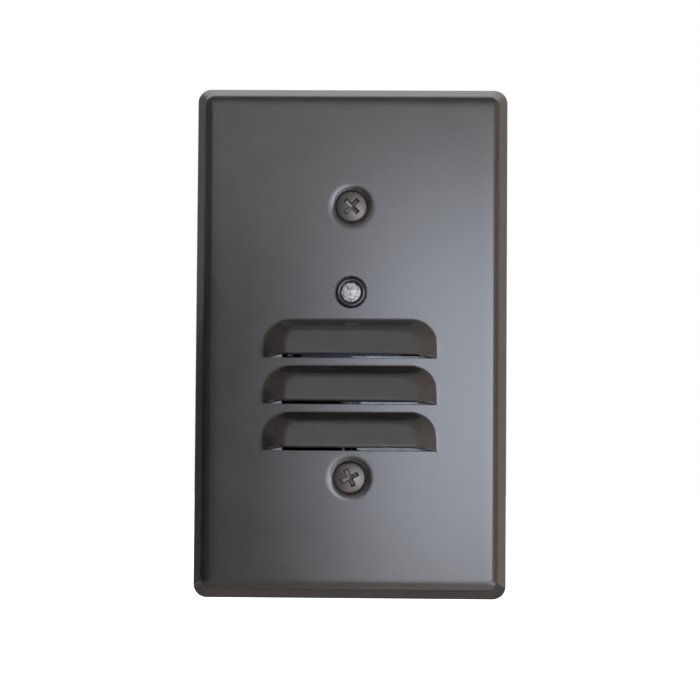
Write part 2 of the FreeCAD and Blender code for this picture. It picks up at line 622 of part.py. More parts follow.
def front_carrier():
    """White moulding: flange behind the strap and a turret through its window."""
    flange = rounded_slab(CARRIER_WIDTH, CARRIER_HEIGHT, CARRIER_CORNER, 0, CARRIER_FLANGE)
    turret = rounded_slab(TURRET_WIDTH, TURRET_HEIGHT, TURRET_CORNER, TURRET_FRONT_Y, 0, 0, TURRET_Z)
    carrier = flange.fuse(turret).removeSplitter()
    carrier = carrier.cut(rounded_slab(LENS_WIDTH + 2 * FIT, LENS_HEIGHT + 2 * FIT, LENS_CORNER + FIT,
                                       TURRET_FRONT_Y, REBATE_Y, 0, LENS_Z))
    carrier = carrier.cut(rounded_slab(POCKET_WIDTH, POCKET_HEIGHT, LENS_CORNER + LENS_FLANGE,
                                       REBATE_Y, CARRIER_FLANGE, 0, LENS_Z))
    carrier = carrier.cut(rod_y(SLEEVE_RADIUS + SLEEVE_GAP, TURRET_FRONT_Y, CARRIER_FLANGE, 0, SENSOR_Z))
    carrier = carrier.cut(sensor_cores())
    for side in SIDES:
        carrier = carrier.cut(dimple_notch(side))
    for x, z in corner_points(HOUSING_SCREW_X, HOUSING_SCREW_Z):
        carrier = carrier.cut(rod_y(HOUSING_SCREW_RADIUS + THREAD_CLEARANCE,
                                    HOUSING_SCREW_TIP_Y - THREAD_CLEARANCE, CARRIER_FLANGE, x, z))
    for x, z in peg_points():
        carrier = carrier.fuse(rod_y(PEG_POST_RADIUS, CARRIER_FLANGE, LED_BOARD_Y, x, z))
        carrier = carrier.fuse(rod_y(PEG_RADIUS, LED_BOARD_Y,
                                     LED_BOARD_Y + BOARD_THICKNESS + PEG_HEIGHT, x, z))
    return only_solid(carrier.removeSplitter())


def sensor_cores():
    """Pockets that thin the moulding on both sides of the sensor bore."""
    z0 = LENS_Z + POCKET_HEIGHT / 2 + CARRIER_WALL
    z1 = TURRET_TOP - CARRIER_WALL
    x0 = SLEEVE_RADIUS + SLEEVE_GAP + CARRIER_WALL
    x1 = TURRET_WIDTH / 2 - CARRIER_WALL - 2 * PEG_POST_RADIUS
    cores = []
    for side in SIDES:
        middle = side * (x0 + x1) / 2
        cores.append(rounded_slab(x1 - x0, z1 - z0, LENS_CORNER, TURRET_FRONT_Y + CORE_DEPTH_INSET,
                                  CARRIER_FLANGE, middle, (z0 + z1) / 2))
    return Part.makeCompound(cores)


def dimple_notch(side):
    """Room in the turret for the back of a pressed dimple."""
    profile = dimple_profile(SHEET)
    (wide, wide_y), (waist, waist_y), (deep, deep_y) = profile[1:4]
    gap = NOTCH_CLEARANCE
    points = [(0, wide_y - gap), (wide + gap, wide_y - gap), (wide + gap, wide_y),
              (waist + gap, waist_y), (deep + gap, deep_y + gap), (0, deep_y + gap)]
    return revolved(points, 0, side * PLATE_SCREW_SPACING / 2)


# ------------------------------------------------------- lens, seal, reflector
def light_lens():
    pane = rounded_slab(LENS_WIDTH, LENS_HEIGHT, LENS_CORNER, TURRET_FRONT_Y + LENS_RECESS,
                        REFLECTOR_Y, 0, LENS_Z)
    flange = rounded_slab(LENS_WIDTH + 2 * LENS_FLANGE, LENS_HEIGHT + 2 * LENS_FLANGE,
                          LENS_CORNER + LENS_FLANGE / 2, LENS_FLANGE_Y, REFLECTOR_Y, 0, LENS_Z)
    return only_solid(pane.fuse(flange).removeSplitter())


def lens_seal():
    """Flat rubber frame between the lens flange and the rebate of the carrier."""
    outer = rounded_slab(LENS_WIDTH + 2 * LENS_FLANGE, LENS_HEIGHT + 2 * LENS_FLANGE,
                         LENS_CORNER + LENS_FLANGE / 2, REBATE_Y, LENS_FLANGE_Y, 0, LENS_Z)
    inner = rounded_slab(LENS_WIDTH + 2 * FIT, LENS_HEIGHT + 2 * FIT, LENS_CORNER,
                         REBATE_Y, LENS_FLANGE_Y, 0, LENS_Z)
    return outer.cut(inner)


def reflector_cup(inset, y0, y1):
    """Rectangular cup narrowing towards the board."""
    width = LENS_WIDTH + 2 * LENS_FLANGE - 2 * REFLECTOR_WALL - 2 * inset
    height = LENS_HEIGHT + 2 * LENS_FLANGE - 2 * REFLECTOR_WALL - 2 * inset
    front = rounded_wire(width, height, 2 * LENS_CORNER, y0, 0, LENS_Z)
    back = rounded_wire(width - 2 * REFLECTOR_TAPER, height - 2 * REFLECTOR_TAPER, LENS_CORNER,
                        y1, 0, LENS_Z)
    return Part.makeLoft([front, back], True, True)


def reflector():
    """Plated cup behind the lens, with a window for each row of lamps and ridges between rows."""
    back_y = LED_BOARD_Y - REFLECTOR_BOARD_GAP
    floor_y = back_y - REFLECTOR_WALL
    rim = rounded_slab(LENS_WIDTH + 2 * LENS_FLANGE, LENS_HEIGHT + 2 * LENS_FLANGE,
                       LENS_CORNER + LENS_FLANGE / 2, REFLECTOR_Y, REFLECTOR_Y + REFLECTOR_RIM, 0, LENS_Z)
    cup = rim.fuse(reflector_cup(0, REFLECTOR_Y, back_y))
    cup = cup.cut(reflector_cup(REFLECTOR_WALL, REFLECTOR_Y, floor_y))
    half = LENS_WIDTH / 2 - REFLECTOR_TAPER - REFLECTOR_WALL
    for below, above in zip(LED_ROW_Z[:-1], LED_ROW_Z[1:]):
        z = (below + above) / 2
        corners = [V(-half, floor_y, z - RIDGE_WIDTH / 2), V(-half, floor_y - RIDGE_HEIGHT, z),
                   V(-half, floor_y, z + RIDGE_WIDTH / 2)]
        cup = cup.fuse(Part.Face(Part.makePolygon(corners + corners[:1])).extrude(V(2 * half, 0, 0)))
    for z in LED_ROW_Z:
        reach = LED_PITCH * LEDS_PER_ROW / 2
        cup = cup.cut(rounded_slab(2 * reach, LAMP_WINDOW_HEIGHT, LENS_CORNER, floor_y, back_y, 0, z))
    return only_solid(cup.removeSplitter())


# -------------------------------------------------------------- circuit boards
def board(y):
    """Board blank with its corners cut round the housing's screw tubes."""
    blank = rounded_slab(BOARD_WIDTH, BOARD_HEIGHT, BOARD_CORNER, y, y + BOARD_THICKNESS)
    for x, z in corner_points(HOUSING_SCREW_X, HOUSING_SCREW_Z):
        blank = blank.cut(rod_y(HOUSING_TUBE_RADIUS + BOARD_NOTCH_CLEARANCE, y, y + BOARD_THICKNESS, x, z))
        sx, sz = math.copysign(1, x), math.copysign(1, z)
        reach = HOUSING_TUBE_RADIUS + BOARD_NOTCH_CLEARANCE
        xs = sorted((x, x + sx * 2 * reach))
        zs = sorted((z - sz * reach, z + sz * 2 * reach))
        blank = blank.cut(box(xs[0], xs[1], y, y + BOARD_THICKNESS, zs[0], zs[1]))
        xs = sorted((x - sx * reach, x + sx * 2 * reach))
        zs = sorted((z, z + sz * 2 * reach))
        blank = blank.cut(box(xs[0], xs[1], y, y + BOARD_THICKNESS, zs[0], zs[1]))
    for x in pin_columns():
        half = PIN_SIZE / 2 + PIN_CLEARANCE
        blank = blank.cut(box(x - half, x + half, y, y + BOARD_THICKNESS, HEADER_Z - half, HEADER_Z + half))
    return blank


def pin_columns():
    return [(i - (PIN_COUNT - 1) / 2) * PIN_PITCH for i in range(PIN_COUNT)]


def lead_columns():
    return [side * LEAD_SPACING / 2 for side in SIDES]


def led_board():
    blank = board(LED_BOARD_Y)
    for x, z in peg_points():
        blank = blank.cut(rod_y(PEG_RADIUS + FIT, LED_BOARD_Y, LED_BOARD_Y + BOARD_THICKNESS, x, z))
    for x in lead_columns():
        blank = blank.cut(rod_y(LEAD_RADIUS + FIT, LED_BOARD_Y, LED_BOARD_Y + BOARD_THICKNESS, x, SENSOR_Z))
    return only_solid(blank)


def driver_board():
    blank = board(DRIVER_BOARD_Y)
    half = TERMINAL_LEG / 2 + LEG_CLEARANCE
    for side in SIDES:
        x0 = POCKET_FLOOR_X - LEG_CLEARANCE
        x1 = POCKET_FLOOR_X + TERMINAL_THICKNESS + LEG_CLEARANCE
        xs = sorted((side * x0, side * x1))
        blank = blank.cut(box(xs[0], xs[1], DRIVER_BOARD_Y, SEAT_Y, TERMINAL_Z - half, TERMINAL_Z + half))
    return only_solid(blank)


def led_chips():
    chips = []
    for z in LED_ROW_Z:
        for i in range(LEDS_PER_ROW):
            x = (i - (LEDS_PER_ROW - 1) / 2) * LED_PITCH
            chips.append(box(x - LED_WIDTH / 2, x + LED_WIDTH / 2, LED_BOARD_Y - LED_THICKNESS, LED_BOARD_Y,
                             z - LED_HEIGHT / 2, z + LED_HEIGHT / 2))
    return Part.makeCompound(chips)


def board_link_header():
    """Strip of pins that joins the two boards, with its insulating bar on the driver board."""
    y0 = LED_BOARD_Y - PIN_STUB
    y1 = SEAT_Y + PIN_STUB
    half = PIN_SIZE / 2
    length = PIN_COUNT * PIN_PITCH
    header = box(-length / 2, length / 2, DRIVER_BOARD_Y - HEADER_THICKNESS, DRIVER_BOARD_Y,
                 HEADER_Z - PIN_PITCH / 2, HEADER_Z + PIN_PITCH / 2)
    for x in pin_columns():
        header = header.fuse(box(x - half, x + half, y0, y1, HEADER_Z - half, HEADER_Z + half))
    return only_solid(header.removeSplitter())


# ------------------------------------------------------------------ dusk sensor
def photocell_lens():
    """Clear button: crown in the plate's hole, flange behind the plate, spigot in the carrier."""
    radius = SENSOR_HOLE_RADIUS - SENSOR_LENS_CLEARANCE
    flange_y = TURRET_FRONT_Y - SENSOR_FLANGE_THICKNESS
    barrel = rod_y(radius, FACE_Y, TURRET_FRONT_Y, 0, SENSOR_Z)
    flange = rod_y(SENSOR_FLANGE_RADIUS, flange_y, TURRET_FRONT_Y, 0, SENSOR_Z)
    spigot = rod_y(SLEEVE_RADIUS - SLEEVE_GAP, TURRET_FRONT_Y, TURRET_FRONT_Y + SENSOR_SPIGOT_LENGTH,
                   0, SENSOR_Z)
    sphere_radius = (radius ** 2 + SENSOR_DOME_RISE ** 2) / (2 * SENSOR_DOME_RISE)
    sphere = Part.makeSphere(sphere_radius, V(0, FACE_Y - SENSOR_DOME_RISE + sphere_radius, SENSOR_Z))
    crown = sphere.common(rod_y(radius, FACE_Y - 2 * SENSOR_DOME_RISE, FACE_Y, 0, SENSOR_Z))
    return only_solid(barrel.fuse([flange, spigot, crown]).removeSplitter())


def photocell():
    """Round light cell with a domed tip, a flange and two leads through the lamp board."""
    tip_y = TURRET_FRONT_Y + SENSOR_SPIGOT_LENGTH + CELL_LENS_GAP
    back_y = tip_y + CELL_LENGTH
    dome = Part.makeSphere(CELL_RADIUS, V(0, tip_y + CELL_RADIUS, SENSOR_Z))
    barrel = rod_y(CELL_RADIUS, tip_y + CELL_RADIUS, back_y, 0, SENSOR_Z)
    flange = rod_y(CELL_FLANGE_RADIUS, back_y - CELL_FLANGE_THICKNESS, back_y, 0, SENSOR_Z)
    cell = dome.fuse([barrel, flange])
    for x in lead_columns():
        cell = cell.fuse(rod_y(LEAD_RADIUS, back_y, LED_BOARD_Y + BOARD_THICKNESS + PIN_STUB, x, SENSOR_Z))
    return only_solid(cell.removeSplitter())


def photocell_sleeve():
    """Black rubber tube that keeps the lamps' light off the cell."""
    tip_y = TURRET_FRONT_Y + SENSOR_SPIGOT_LENGTH + SLEEVE_GAP
    back_y = TURRET_FRONT_Y + SENSOR_SPIGOT_LENGTH + CELL_LENS_GAP + CELL_LENGTH - CELL_FLANGE_THICKNESS
    tube = rod_y(SLEEVE_RADIUS, tip_y, back_y - SLEEVE_GAP, 0, SENSOR_Z)
    return tube.cut(rod_y(CELL_RADIUS + SLEEVE_GAP, tip_y, back_y, 0, SENSOR_Z))


# ---------------------------------------------------------------- rear housing
def housing_shell(width, height, corner, y0, y1):
    """Drafted block that narrows towards the back of the wall box."""
    run = 2 * (y1 - y0) * tan(HOUSING_DRAFT)
    front = rounded_wire(width, height, corner, y0)
    back = rounded_wire(width - run, height - run, corner, y1)
    return Part.makeLoft([front, back], True, True)


def terminal_box(side, inset, y1):
    """Side pocket of a screw terminal; inset is 0 for its walls and the wall for its hollow."""
    outer_x = CARRIER_WIDTH / 2 - HOUSING_WALL / 2 if inset == 0 else CARRIER_WIDTH
    xs = sorted((side * (POCKET_FLOOR_X - POCKET_WALL + inset), side * outer_x))
    half = POCKET_HALF_HEIGHT + POCKET_WALL - inset
    return box(xs[0], xs[1], POCKET_FRONT_Y - POCKET_WALL + inset, y1,
               TERMINAL_Z - half, TERMINAL_Z + half)


def rear_housing():
    """Black moulding behind the carrier: tray, screw tubes, board ribs, terminal pockets and vents."""
    shell = housing_shell(CARRIER_WIDTH, CARRIER_HEIGHT, CARRIER_CORNER, CARRIER_FLANGE, HOUSING_BACK_Y)
    shell = shell.makeFillet(HOUSING_EDGE, [e for e in shell.Edges if in_plane(e, HOUSING_BACK_Y)])
    cavity_back = HOUSING_BACK_Y - HOUSING_FLOOR
    shell = shell.cut(housing_shell(CARRIER_WIDTH - 2 * HOUSING_WALL, CARRIER_HEIGHT - 2 * HOUSING_WALL,
                                    CARRIER_CORNER - HOUSING_WALL / 2, CARRIER_FLANGE, cavity_back))
    for x, z in corner_points(HOUSING_SCREW_X, HOUSING_SCREW_Z):
        shell = shell.fuse(rod_y(HOUSING_TUBE_RADIUS, CARRIER_FLANGE, cavity_back, x, z))
    wall_x = CARRIER_WIDTH / 2 - HOUSING_WALL / 2
    for side in SIDES:
        shell = shell.fuse(terminal_box(side, 0, cavity_back))
        for z in (-RIB_Z, RIB_Z):
            xs = sorted((side * (wall_x - RIB_REACH - HOUSING_WALL / 2), side * wall_x))
            shell = shell.fuse(box(xs[0], xs[1], SEAT_Y, cavity_back,
                                   z - RIB_THICKNESS / 2, z + RIB_THICKNESS / 2))
    for side in SIDES:
        shell = shell.cut(terminal_box(side, POCKET_WALL, 2 * HOUSING_BACK_Y))
        xs = sorted((side * (POCKET_FLOOR_X - POCKET_WALL), side * POCKET_FLOOR_X))
        shell = shell.cut(rod_x(TERMINAL_SCREW_RADIUS + CLAMP_HOLE_CLEARANCE, xs[0], xs[1],
                                TERMINAL_Y, TERMINAL_Z))
        xs = sorted((side * POCKET_FLOOR_X, side * (POCKET_FLOOR_X + TERMINAL_THICKNESS + LEG_CLEARANCE)))
        half = TERMINAL_LEG / 2 + LEG_CLEARANCE
        shell = shell.cut(box(xs[0], xs[1], POCKET_FRONT_Y - POCKET_WALL, POCKET_FRONT_Y,
                              TERMINAL_Z - half, TERMINAL_Z + half))
    for x, z in corner_points(HOUSING_SCREW_X, HOUSING_SCREW_Z):
        shell = shell.cut(rod_y(HOUSING_SCREW_RADIUS + FIT, CARRIER_FLANGE, HOUSING_BACK_Y, x, z))
        shell = shell.cut(rod_y(HOUSING_HEAD_RADIUS + FIT, HOUSING_BACK_Y - HOUSING_COUNTERBORE,
                                HOUSING_BACK_Y, x, z))
    for i in range(VENT_COUNT):
        x = (i - (VENT_COUNT - 1) / 2) * VENT_PITCH
        shell = shell.cut(rounded_slab(VENT_WIDTH, VENT_LENGTH, slot_radius(VENT_WIDTH), cavity_back,
                                       HOUSING_BACK_Y, x, VENT_Z))
    return only_solid(shell.removeSplitter())


def housing_screws():
    """Four long screws from the back of the housing into the carrier."""
    screws = []
    seat_y = HOUSING_BACK_Y - HOUSING_COUNTERBORE
    for x, z in corner_points(HOUSING_SCREW_X, HOUSING_SCREW_Z):
        head = rod_y(HOUSING_HEAD_RADIUS, seat_y, seat_y + HOUSING_HEAD_HEIGHT, x, z)
        rim = [edge for edge in head.Edges if in_plane(edge, seat_y + HOUSING_HEAD_HEIGHT)]
        head = head.makeChamfer(HOUSING_HEAD_EASE, rim)
        shank = rod_y(HOUSING_SCREW_RADIUS, HOUSING_SCREW_TIP_Y, seat_y, x, z)
        screws.append(only_solid(head.fuse(shank).removeSplitter()))
    return Part.makeCompound(screws)


# ------------------------------------------------------------- screw terminals
def terminal(side):
    """Tapped plate in its pocket, with a leg through the housing into the driver board."""
    xs = sorted((side * POCKET_FLOOR_X, side * (POCKET_FLOOR_X + TERMINAL_THICKNESS)))
    y0 = TERMINAL_Y - TERMINAL_LENGTH / 2
    plate = box(xs[0], xs[1], y0, y0 + TERMINAL_LENGTH,
                TERMINAL_Z - TERMINAL_HEIGHT / 2, TERMINAL_Z + TERMINAL_HEIGHT / 2)
    leg = box(xs[0], xs[1], DRIVER_BOARD_Y - LEG_STUB, y0,
              TERMINAL_Z - TERMINAL_LEG / 2, TERMINAL_Z + TERMINAL_LEG / 2)
    body = plate.fuse(leg).removeSplitter()
    corners = [edge for edge in body.Edges if edge.BoundBox.YMin > y0 + TERMINAL_LENGTH - NEAR
               and edge.BoundBox.ZLength < NEAR]
    body = body.makeFillet(CLAMP_CORNER, corners)
    return only_solid(body.cut(rod_x(TERMINAL_SCREW_RADIUS + THREAD_CLEARANCE, xs[0], xs[1],
                                     TERMINAL_Y, TERMINAL_Z)))


def pressure_plate(side, near_x, y, z):
    """Square clamp under a terminal screw, with two gripping ribs towards the terminal."""
    xs = sorted((side * near_x, side * (near_x + CLAMP_THICKNESS)))
    half = CLAMP_SIZE / 2
    plate = box(xs[0], xs[1], y - half, y + half, z - half, z + half)
    corners = [edge for edge in plate.Edges if abs(edge.BoundBox.XLength - CLAMP_THICKNESS) < NEAR]
    plate = plate.makeFillet(CLAMP_CORNER, corners)
    ribs = sorted((side * (near_x - CLAMP_RIB_HEIGHT), side * near_x))
    for end in SIDES:
        rib_z = z + end * (half - CLAMP_CORNER)
        plate = plate.fuse(box(ribs[0], ribs[1], y - half + CLAMP_CORNER, y + half - CLAMP_CORNER,
                               rib_z - CLAMP_RIB_WIDTH / 2, rib_z + CLAMP_RIB_WIDTH / 2))
    plate = plate.removeSplitter()
    hole = rod_x(TERMINAL_SCREW_RADIUS + CLAMP_HOLE_CLEARANCE, xs[0] - SHEET, xs[1] + SHEET, y, z)
    return only_solid(plate.cut(hole))


def binding_head(side, near_x, y, z):
    """Low round head with an eased outer edge."""
    xs = sorted((side * near_x, side * (near_x + TERMINAL_HEAD_HEIGHT)))
    head = rod_x(TERMINAL_HEAD_RADIUS, xs[0], xs[1], y, z)
    far = side * (near_x + TERMINAL_HEAD_HEIGHT)
    rim = [edge for edge in head.Edges if abs(edge.BoundBox.XMin - far) < NEAR
           and abs(edge.BoundBox.XMax - far) < NEAR]
    return head.makeChamfer(TERMINAL_HEAD_EASE, rim)


def hex_head(side, near_x, y, z):
    """Hexagon head, flats across GROUND_HEX."""
    radius = GROUND_HEX / 2 / math.cos(math.pi / HEX_SIDES)
    corners = []
    for i in range(HEX_SIDES):
        angle = 2 * math.pi * i / HEX_SIDES
        corners.append(V(side * near_x, y + radius * math.cos(angle), z + radius * math.sin(angle)))
    face = Part.Face(Part.makePolygon(corners + corners[:1]))
    return face.extrude(V(side * TERMINAL_HEAD_HEIGHT, 0, 0))


def terminal_screw(side, near_x, y, z, head):
    """Screw along X whose head bears on the pressure plate."""
    tip = near_x - TERMINAL_SCREW_LENGTH
    xs = sorted((side * tip, side * near_x))
    shank = rod_x(TERMINAL_SCREW_RADIUS, xs[0], xs[1], y, z)
    return only_solid(head(side, near_x, y, z).fuse(shank).removeSplitter())


# ---------------------------------------------------------- driver components
def legs(points, radius, y0, y1):
    return [rod_y(radius, y0, y1, x, z) for x, z in points]


def standing_block(size, at, corner, pitch):
    """Boxed component with rounded edges on two leads behind the driver board."""
    width, stand, depth = size
    x, z = at
    y0 = SEAT_Y + STANDOFF
    body = rounded_slab(width, depth, corner, y0, y0 + stand, x, z)
    pins = legs([(x - pitch / 2, z), (x + pitch / 2, z)], 2 * LEAD_RADIUS, SEAT_Y, y0)
    return only_solid(body.fuse(pins).removeSplitter())


def standing_can(radius, length, at, pitch):
    """Round component on two leads behind the driver board."""
    x, z = at
    y0 = SEAT_Y + STANDOFF
    body = rod_y(radius, y0, y0 + length, x, z)
    body = body.makeChamfer(STANDOFF, [edge for edge in body.Edges if in_plane(edge, y0 + length)])
    pins = legs([(x - pitch / 2, z), (x + pitch / 2, z)], 2 * LEAD_RADIUS, SEAT_Y, y0)
    return only_solid(body.fuse(pins).removeSplitter())


def varistor():
    """Lacquered disc standing on edge on two leads."""
    x, z = VARISTOR_AT
    middle_y = SEAT_Y + STANDOFF + VARISTOR_RADIUS
    half = VARISTOR_THICKNESS / 2
    disc = Part.makeCylinder(VARISTOR_RADIUS, VARISTOR_THICKNESS, V(x - half, middle_y, z), X_AXIS)
    disc = disc.makeChamfer(VARISTOR_EASE, [edge for edge in disc.Edges if edge.BoundBox.XLength < NEAR])
    reach = VARISTOR_LEAD_PITCH / 2
    pins = legs([(x, z - reach), (x, z + reach)], 2 * LEAD_RADIUS, SEAT_Y, middle_y - reach)
    return only_solid(disc.fuse(pins).removeSplitter())


def driver_chip():
    width, height, depth = CHIP_SIZE
    x, z = CHIP_AT
    body = box(x - width / 2, x + width / 2, DRIVER_BOARD_Y - height, DRIVER_BOARD_Y - FIT,
               z - depth / 2, z + depth / 2)
    pitch = width / CHIP_LEGS
    for end in SIDES:
        for i in range(CHIP_LEGS):
            px = x + (i - (CHIP_LEGS - 1) / 2) * pitch
            zs = sorted((z + end * depth / 2, z + end * (depth / 2 + STANDOFF)))
            body = body.fuse(box(px - LEAD_RADIUS, px + LEAD_RADIUS, DRIVER_BOARD_Y - height / 2,
                                 DRIVER_BOARD_Y, zs[0], zs[1]))
    return only_solid(body.removeSplitter())


def resistors():
    width, height, depth = RESISTOR_SIZE
    chips = []
    for column in range(RESISTOR_COLUMNS):
        for row in range(RESISTOR_ROWS):
            x = RESISTOR_AT[0] + column * RESISTOR_PITCH_X
            z = RESISTOR_AT[1] + row * RESISTOR_PITCH_Z
            chips.append(box(x - width / 2, x + width / 2, DRIVER_BOARD_Y - height, DRIVER_BOARD_Y,
                             z - depth / 2, z + depth / 2))
    return Part.makeCompound(chips)


LEFT, RIGHT = SIDES
LOWER, UPPER = SIDES

PARTS = {
    "faceplate": faceplate,
    "plate_gasket": plate_gasket,
    "plate_screw_upper": lambda: oval_head_screw(UPPER),
    "plate_screw_lower": lambda: oval_head_screw(LOWER),
    "mounting_strap": mounting_strap,
    "box_screw_upper": lambda: box_screw(UPPER),
    "box_screw_lower": lambda: box_screw(LOWER),
    "box_screw_retainers": box_screw_retainers,
    "front_carrier": front_carrier,
    "light_lens": light_lens,
    "lens_seal": lens_seal,
    "reflector": reflector,
    "led_board": led_board,
    "led_chips": led_chips,
    "driver_board": driver_board,
    "board_link_header": board_link_header,
    "photocell_lens": photocell_lens,
    "photocell": photocell,
    "photocell_sleeve": photocell_sleeve,
    "rear_housing": rear_housing,
    "housing_screws": housing_screws,
    "line_terminal": lambda: terminal(RIGHT),
    "line_pressure_plate": lambda: pressure_plate(RIGHT, CLAMP_X, TERMINAL_Y, TERMINAL_Z),
    "line_terminal_screw": lambda: terminal_screw(RIGHT, TERMINAL_HEAD_X, TERMINAL_Y, TERMINAL_Z,
                                                  binding_head),
    "neutral_terminal": lambda: terminal(LEFT),
    "neutral_pressure_plate": lambda: pressure_plate(LEFT, CLAMP_X, TERMINAL_Y, TERMINAL_Z),
    "neutral_terminal_screw": lambda: terminal_screw(LEFT, TERMINAL_HEAD_X, TERMINAL_Y, TERMINAL_Z,
                                                     binding_head),
    "ground_pressure_plate": lambda: pressure_plate(LEFT, GROUND_CLAMP_X, GROUND_Y, GROUND_Z),
    "ground_screw": lambda: terminal_screw(LEFT, GROUND_HEAD_X, GROUND_Y, GROUND_Z, hex_head),
    "dropper_capacitor": lambda: standing_block(DROPPER_SIZE, DROPPER_AT, LENS_CORNER, DROPPER_LEAD_PITCH),
    "smoothing_capacitor": lambda: standing_can(SMOOTHING_RADIUS, SMOOTHING_LENGTH, SMOOTHING_AT,
                                                SMOOTHING_LEAD_PITCH),
    "fuse": lambda: standing_can(FUSE_RADIUS, FUSE_LENGTH, FUSE_AT, FUSE_LEAD_PITCH),
    "bridge_rectifier": lambda: standing_block(BRIDGE_SIZE, BRIDGE_AT, BOARD_CORNER / 2,
                                               BRIDGE_LEAD_PITCH),
    "varistor": varistor,
    "driver_chip": driver_chip,
    "resistors": resistors,
}


def main():
    os.makedirs("parts", exist_ok=True)
    for name, make in PARTS.items():
        shape = make()
        shape.exportStep("parts/" + name + ".step")
        print(name, "solids", len(shape.Solids), "volume", round(shape.Volume, 2), "valid", shape.isValid())


main()
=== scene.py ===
import json
import math

import bpy
import numpy as np
from mathutils import Matrix, Vector

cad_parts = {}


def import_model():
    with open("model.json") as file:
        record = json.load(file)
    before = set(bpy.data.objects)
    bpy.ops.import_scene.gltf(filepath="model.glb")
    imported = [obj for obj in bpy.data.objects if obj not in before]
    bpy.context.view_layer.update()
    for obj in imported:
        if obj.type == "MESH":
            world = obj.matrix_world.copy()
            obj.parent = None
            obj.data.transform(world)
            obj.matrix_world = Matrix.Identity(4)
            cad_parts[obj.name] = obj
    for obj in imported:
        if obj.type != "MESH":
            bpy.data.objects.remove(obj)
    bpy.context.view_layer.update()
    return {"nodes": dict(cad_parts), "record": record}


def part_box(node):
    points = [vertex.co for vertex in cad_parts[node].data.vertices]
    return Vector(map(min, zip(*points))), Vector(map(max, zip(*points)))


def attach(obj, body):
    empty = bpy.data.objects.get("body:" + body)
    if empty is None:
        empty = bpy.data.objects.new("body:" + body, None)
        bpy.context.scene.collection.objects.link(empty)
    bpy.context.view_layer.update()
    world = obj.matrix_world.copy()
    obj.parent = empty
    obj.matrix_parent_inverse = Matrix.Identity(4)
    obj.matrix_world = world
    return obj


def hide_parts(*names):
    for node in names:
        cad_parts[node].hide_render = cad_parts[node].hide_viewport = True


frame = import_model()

MM = 0.001
SENSOR_Z = 11.0              # height of the sensor's window, in mm
SENSOR_DOME = 2.12           # radius of the frosted dome in it
SLOTS = {part["node"]: part["material_slot"] for part in frame["record"]["subparts"]}


# ---------------------------------------------------------------- shader maths and finishes

class Value:
    """One value in a material. Python arithmetic on it adds the Math nodes."""

    def __init__(self, finish, socket):
        self.finish, self.socket = finish, socket

    def math(self, operation, *operands):
        sockets = dict(enumerate(operands))
        return self.finish.node("ShaderNodeMath", {"operation": operation}, sockets)

    def __add__(self, other):
        return self.math("ADD", self, other)

    def __mul__(self, other):
        return self.math("MULTIPLY", self, other)

    def __sub__(self, other):
        return self.math("SUBTRACT", self, other)

    def __rsub__(self, other):
        return self.math("SUBTRACT", other, self)

    def __truediv__(self, other):
        return self.math("DIVIDE", self, other)

    def __rtruediv__(self, other):
        return self.math("DIVIDE", other, self)

    def __pow__(self, other):
        return self.math("POWER", self, other)

    __radd__, __rmul__ = __add__, __mul__

    def higher(self, other):
        """The higher of two values."""
        return self.math("MAXIMUM", self, other)

    def between(self, low, high):
        """0 below low, 1 above high, and a smooth step between them."""
        sockets = {"Value": self, "From Min": low, "From Max": high}
        return self.finish.node("ShaderNodeMapRange", {"interpolation_type": "SMOOTHSTEP"}, sockets)


class Finish:
    """One material: a Principled shader, its uniform numbers and the nodes that vary it."""

    def __init__(self, name, **uniform):
        self.owner = bpy.data.materials.new(name)
        self.owner.use_nodes = True
        self.tree = self.owner.node_tree
        self.shader = self.tree.nodes["Principled BSDF"]
        for socket, value in uniform.items():
            self.shader.inputs[socket.replace("_", " ")].default_value = value
        self.place = self.node("ShaderNodeTexCoord", output="Object")

    def node(self, kind, settings=(), sockets=(), output=0):
        """Adds a node of any kind: its settings first, then the numbers or links of its sockets."""
        node = self.tree.nodes.new(kind)
        for name, value in dict(settings).items():
            setattr(node, name, value)
        for name, value in dict(sockets).items():
            self.feed(node.inputs[name], value)
        return Value(self, node.outputs[output])

    def feed(self, socket, value):
        if isinstance(value, Value):
            self.tree.links.new(value.socket, socket)
        else:
            socket.default_value = value

    def set(self, **sockets):
        """Feeds what changes over the surface to the shader."""
        for name, value in sockets.items():
            self.feed(self.shader.inputs[name.replace("_", " ")], value)
        return self.owner

    def stretched(self, stretch):
        """Object coordinates, stretched."""
        return self.node("ShaderNodeMapping", {}, {"Vector": self.place, "Scale": stretch})

    def grain(self, size, detail=2.0, along=None):
        """Noise of 0 to 1 whose lumps are about size metres across."""
        sockets = {"Vector": along or self.place, "Scale": 1 / size, "Detail": detail}
        return self.node("ShaderNodeTexNoise", {}, sockets)

    def cells(self, size):
        """Distance from the nearest middle in a field of cells about size metres across, smoothed."""
        sockets = {"Vector": self.place, "Scale": 1 / size}
        return self.node("ShaderNodeTexVoronoi", {"feature": "SMOOTH_F1"}, sockets, "Distance")

    def axis(self, letter):
        """One of the object coordinates, in metres."""
        return self.node("ShaderNodeSeparateXYZ", {}, {0: self.place}, letter)

    def mix(self, factor, first, second):
        """A colour between two colours; the Mix node keeps those at inputs 6 and 7 and at output 2."""
        sockets = {0: factor, 6: colour(first), 7: colour(second)}
        return self.node("ShaderNodeMix", {"data_type": "RGBA"}, sockets, 2)

    def relief(self, height):
        """The normal of a surface raised by height, in metres."""
        return self.node("ShaderNodeBump", {}, {"Height": height, "Distance": 1.0, "Strength": 1.0})


def colour(value):
    return value if isinstance(value, Value) else (*value, 1.0)


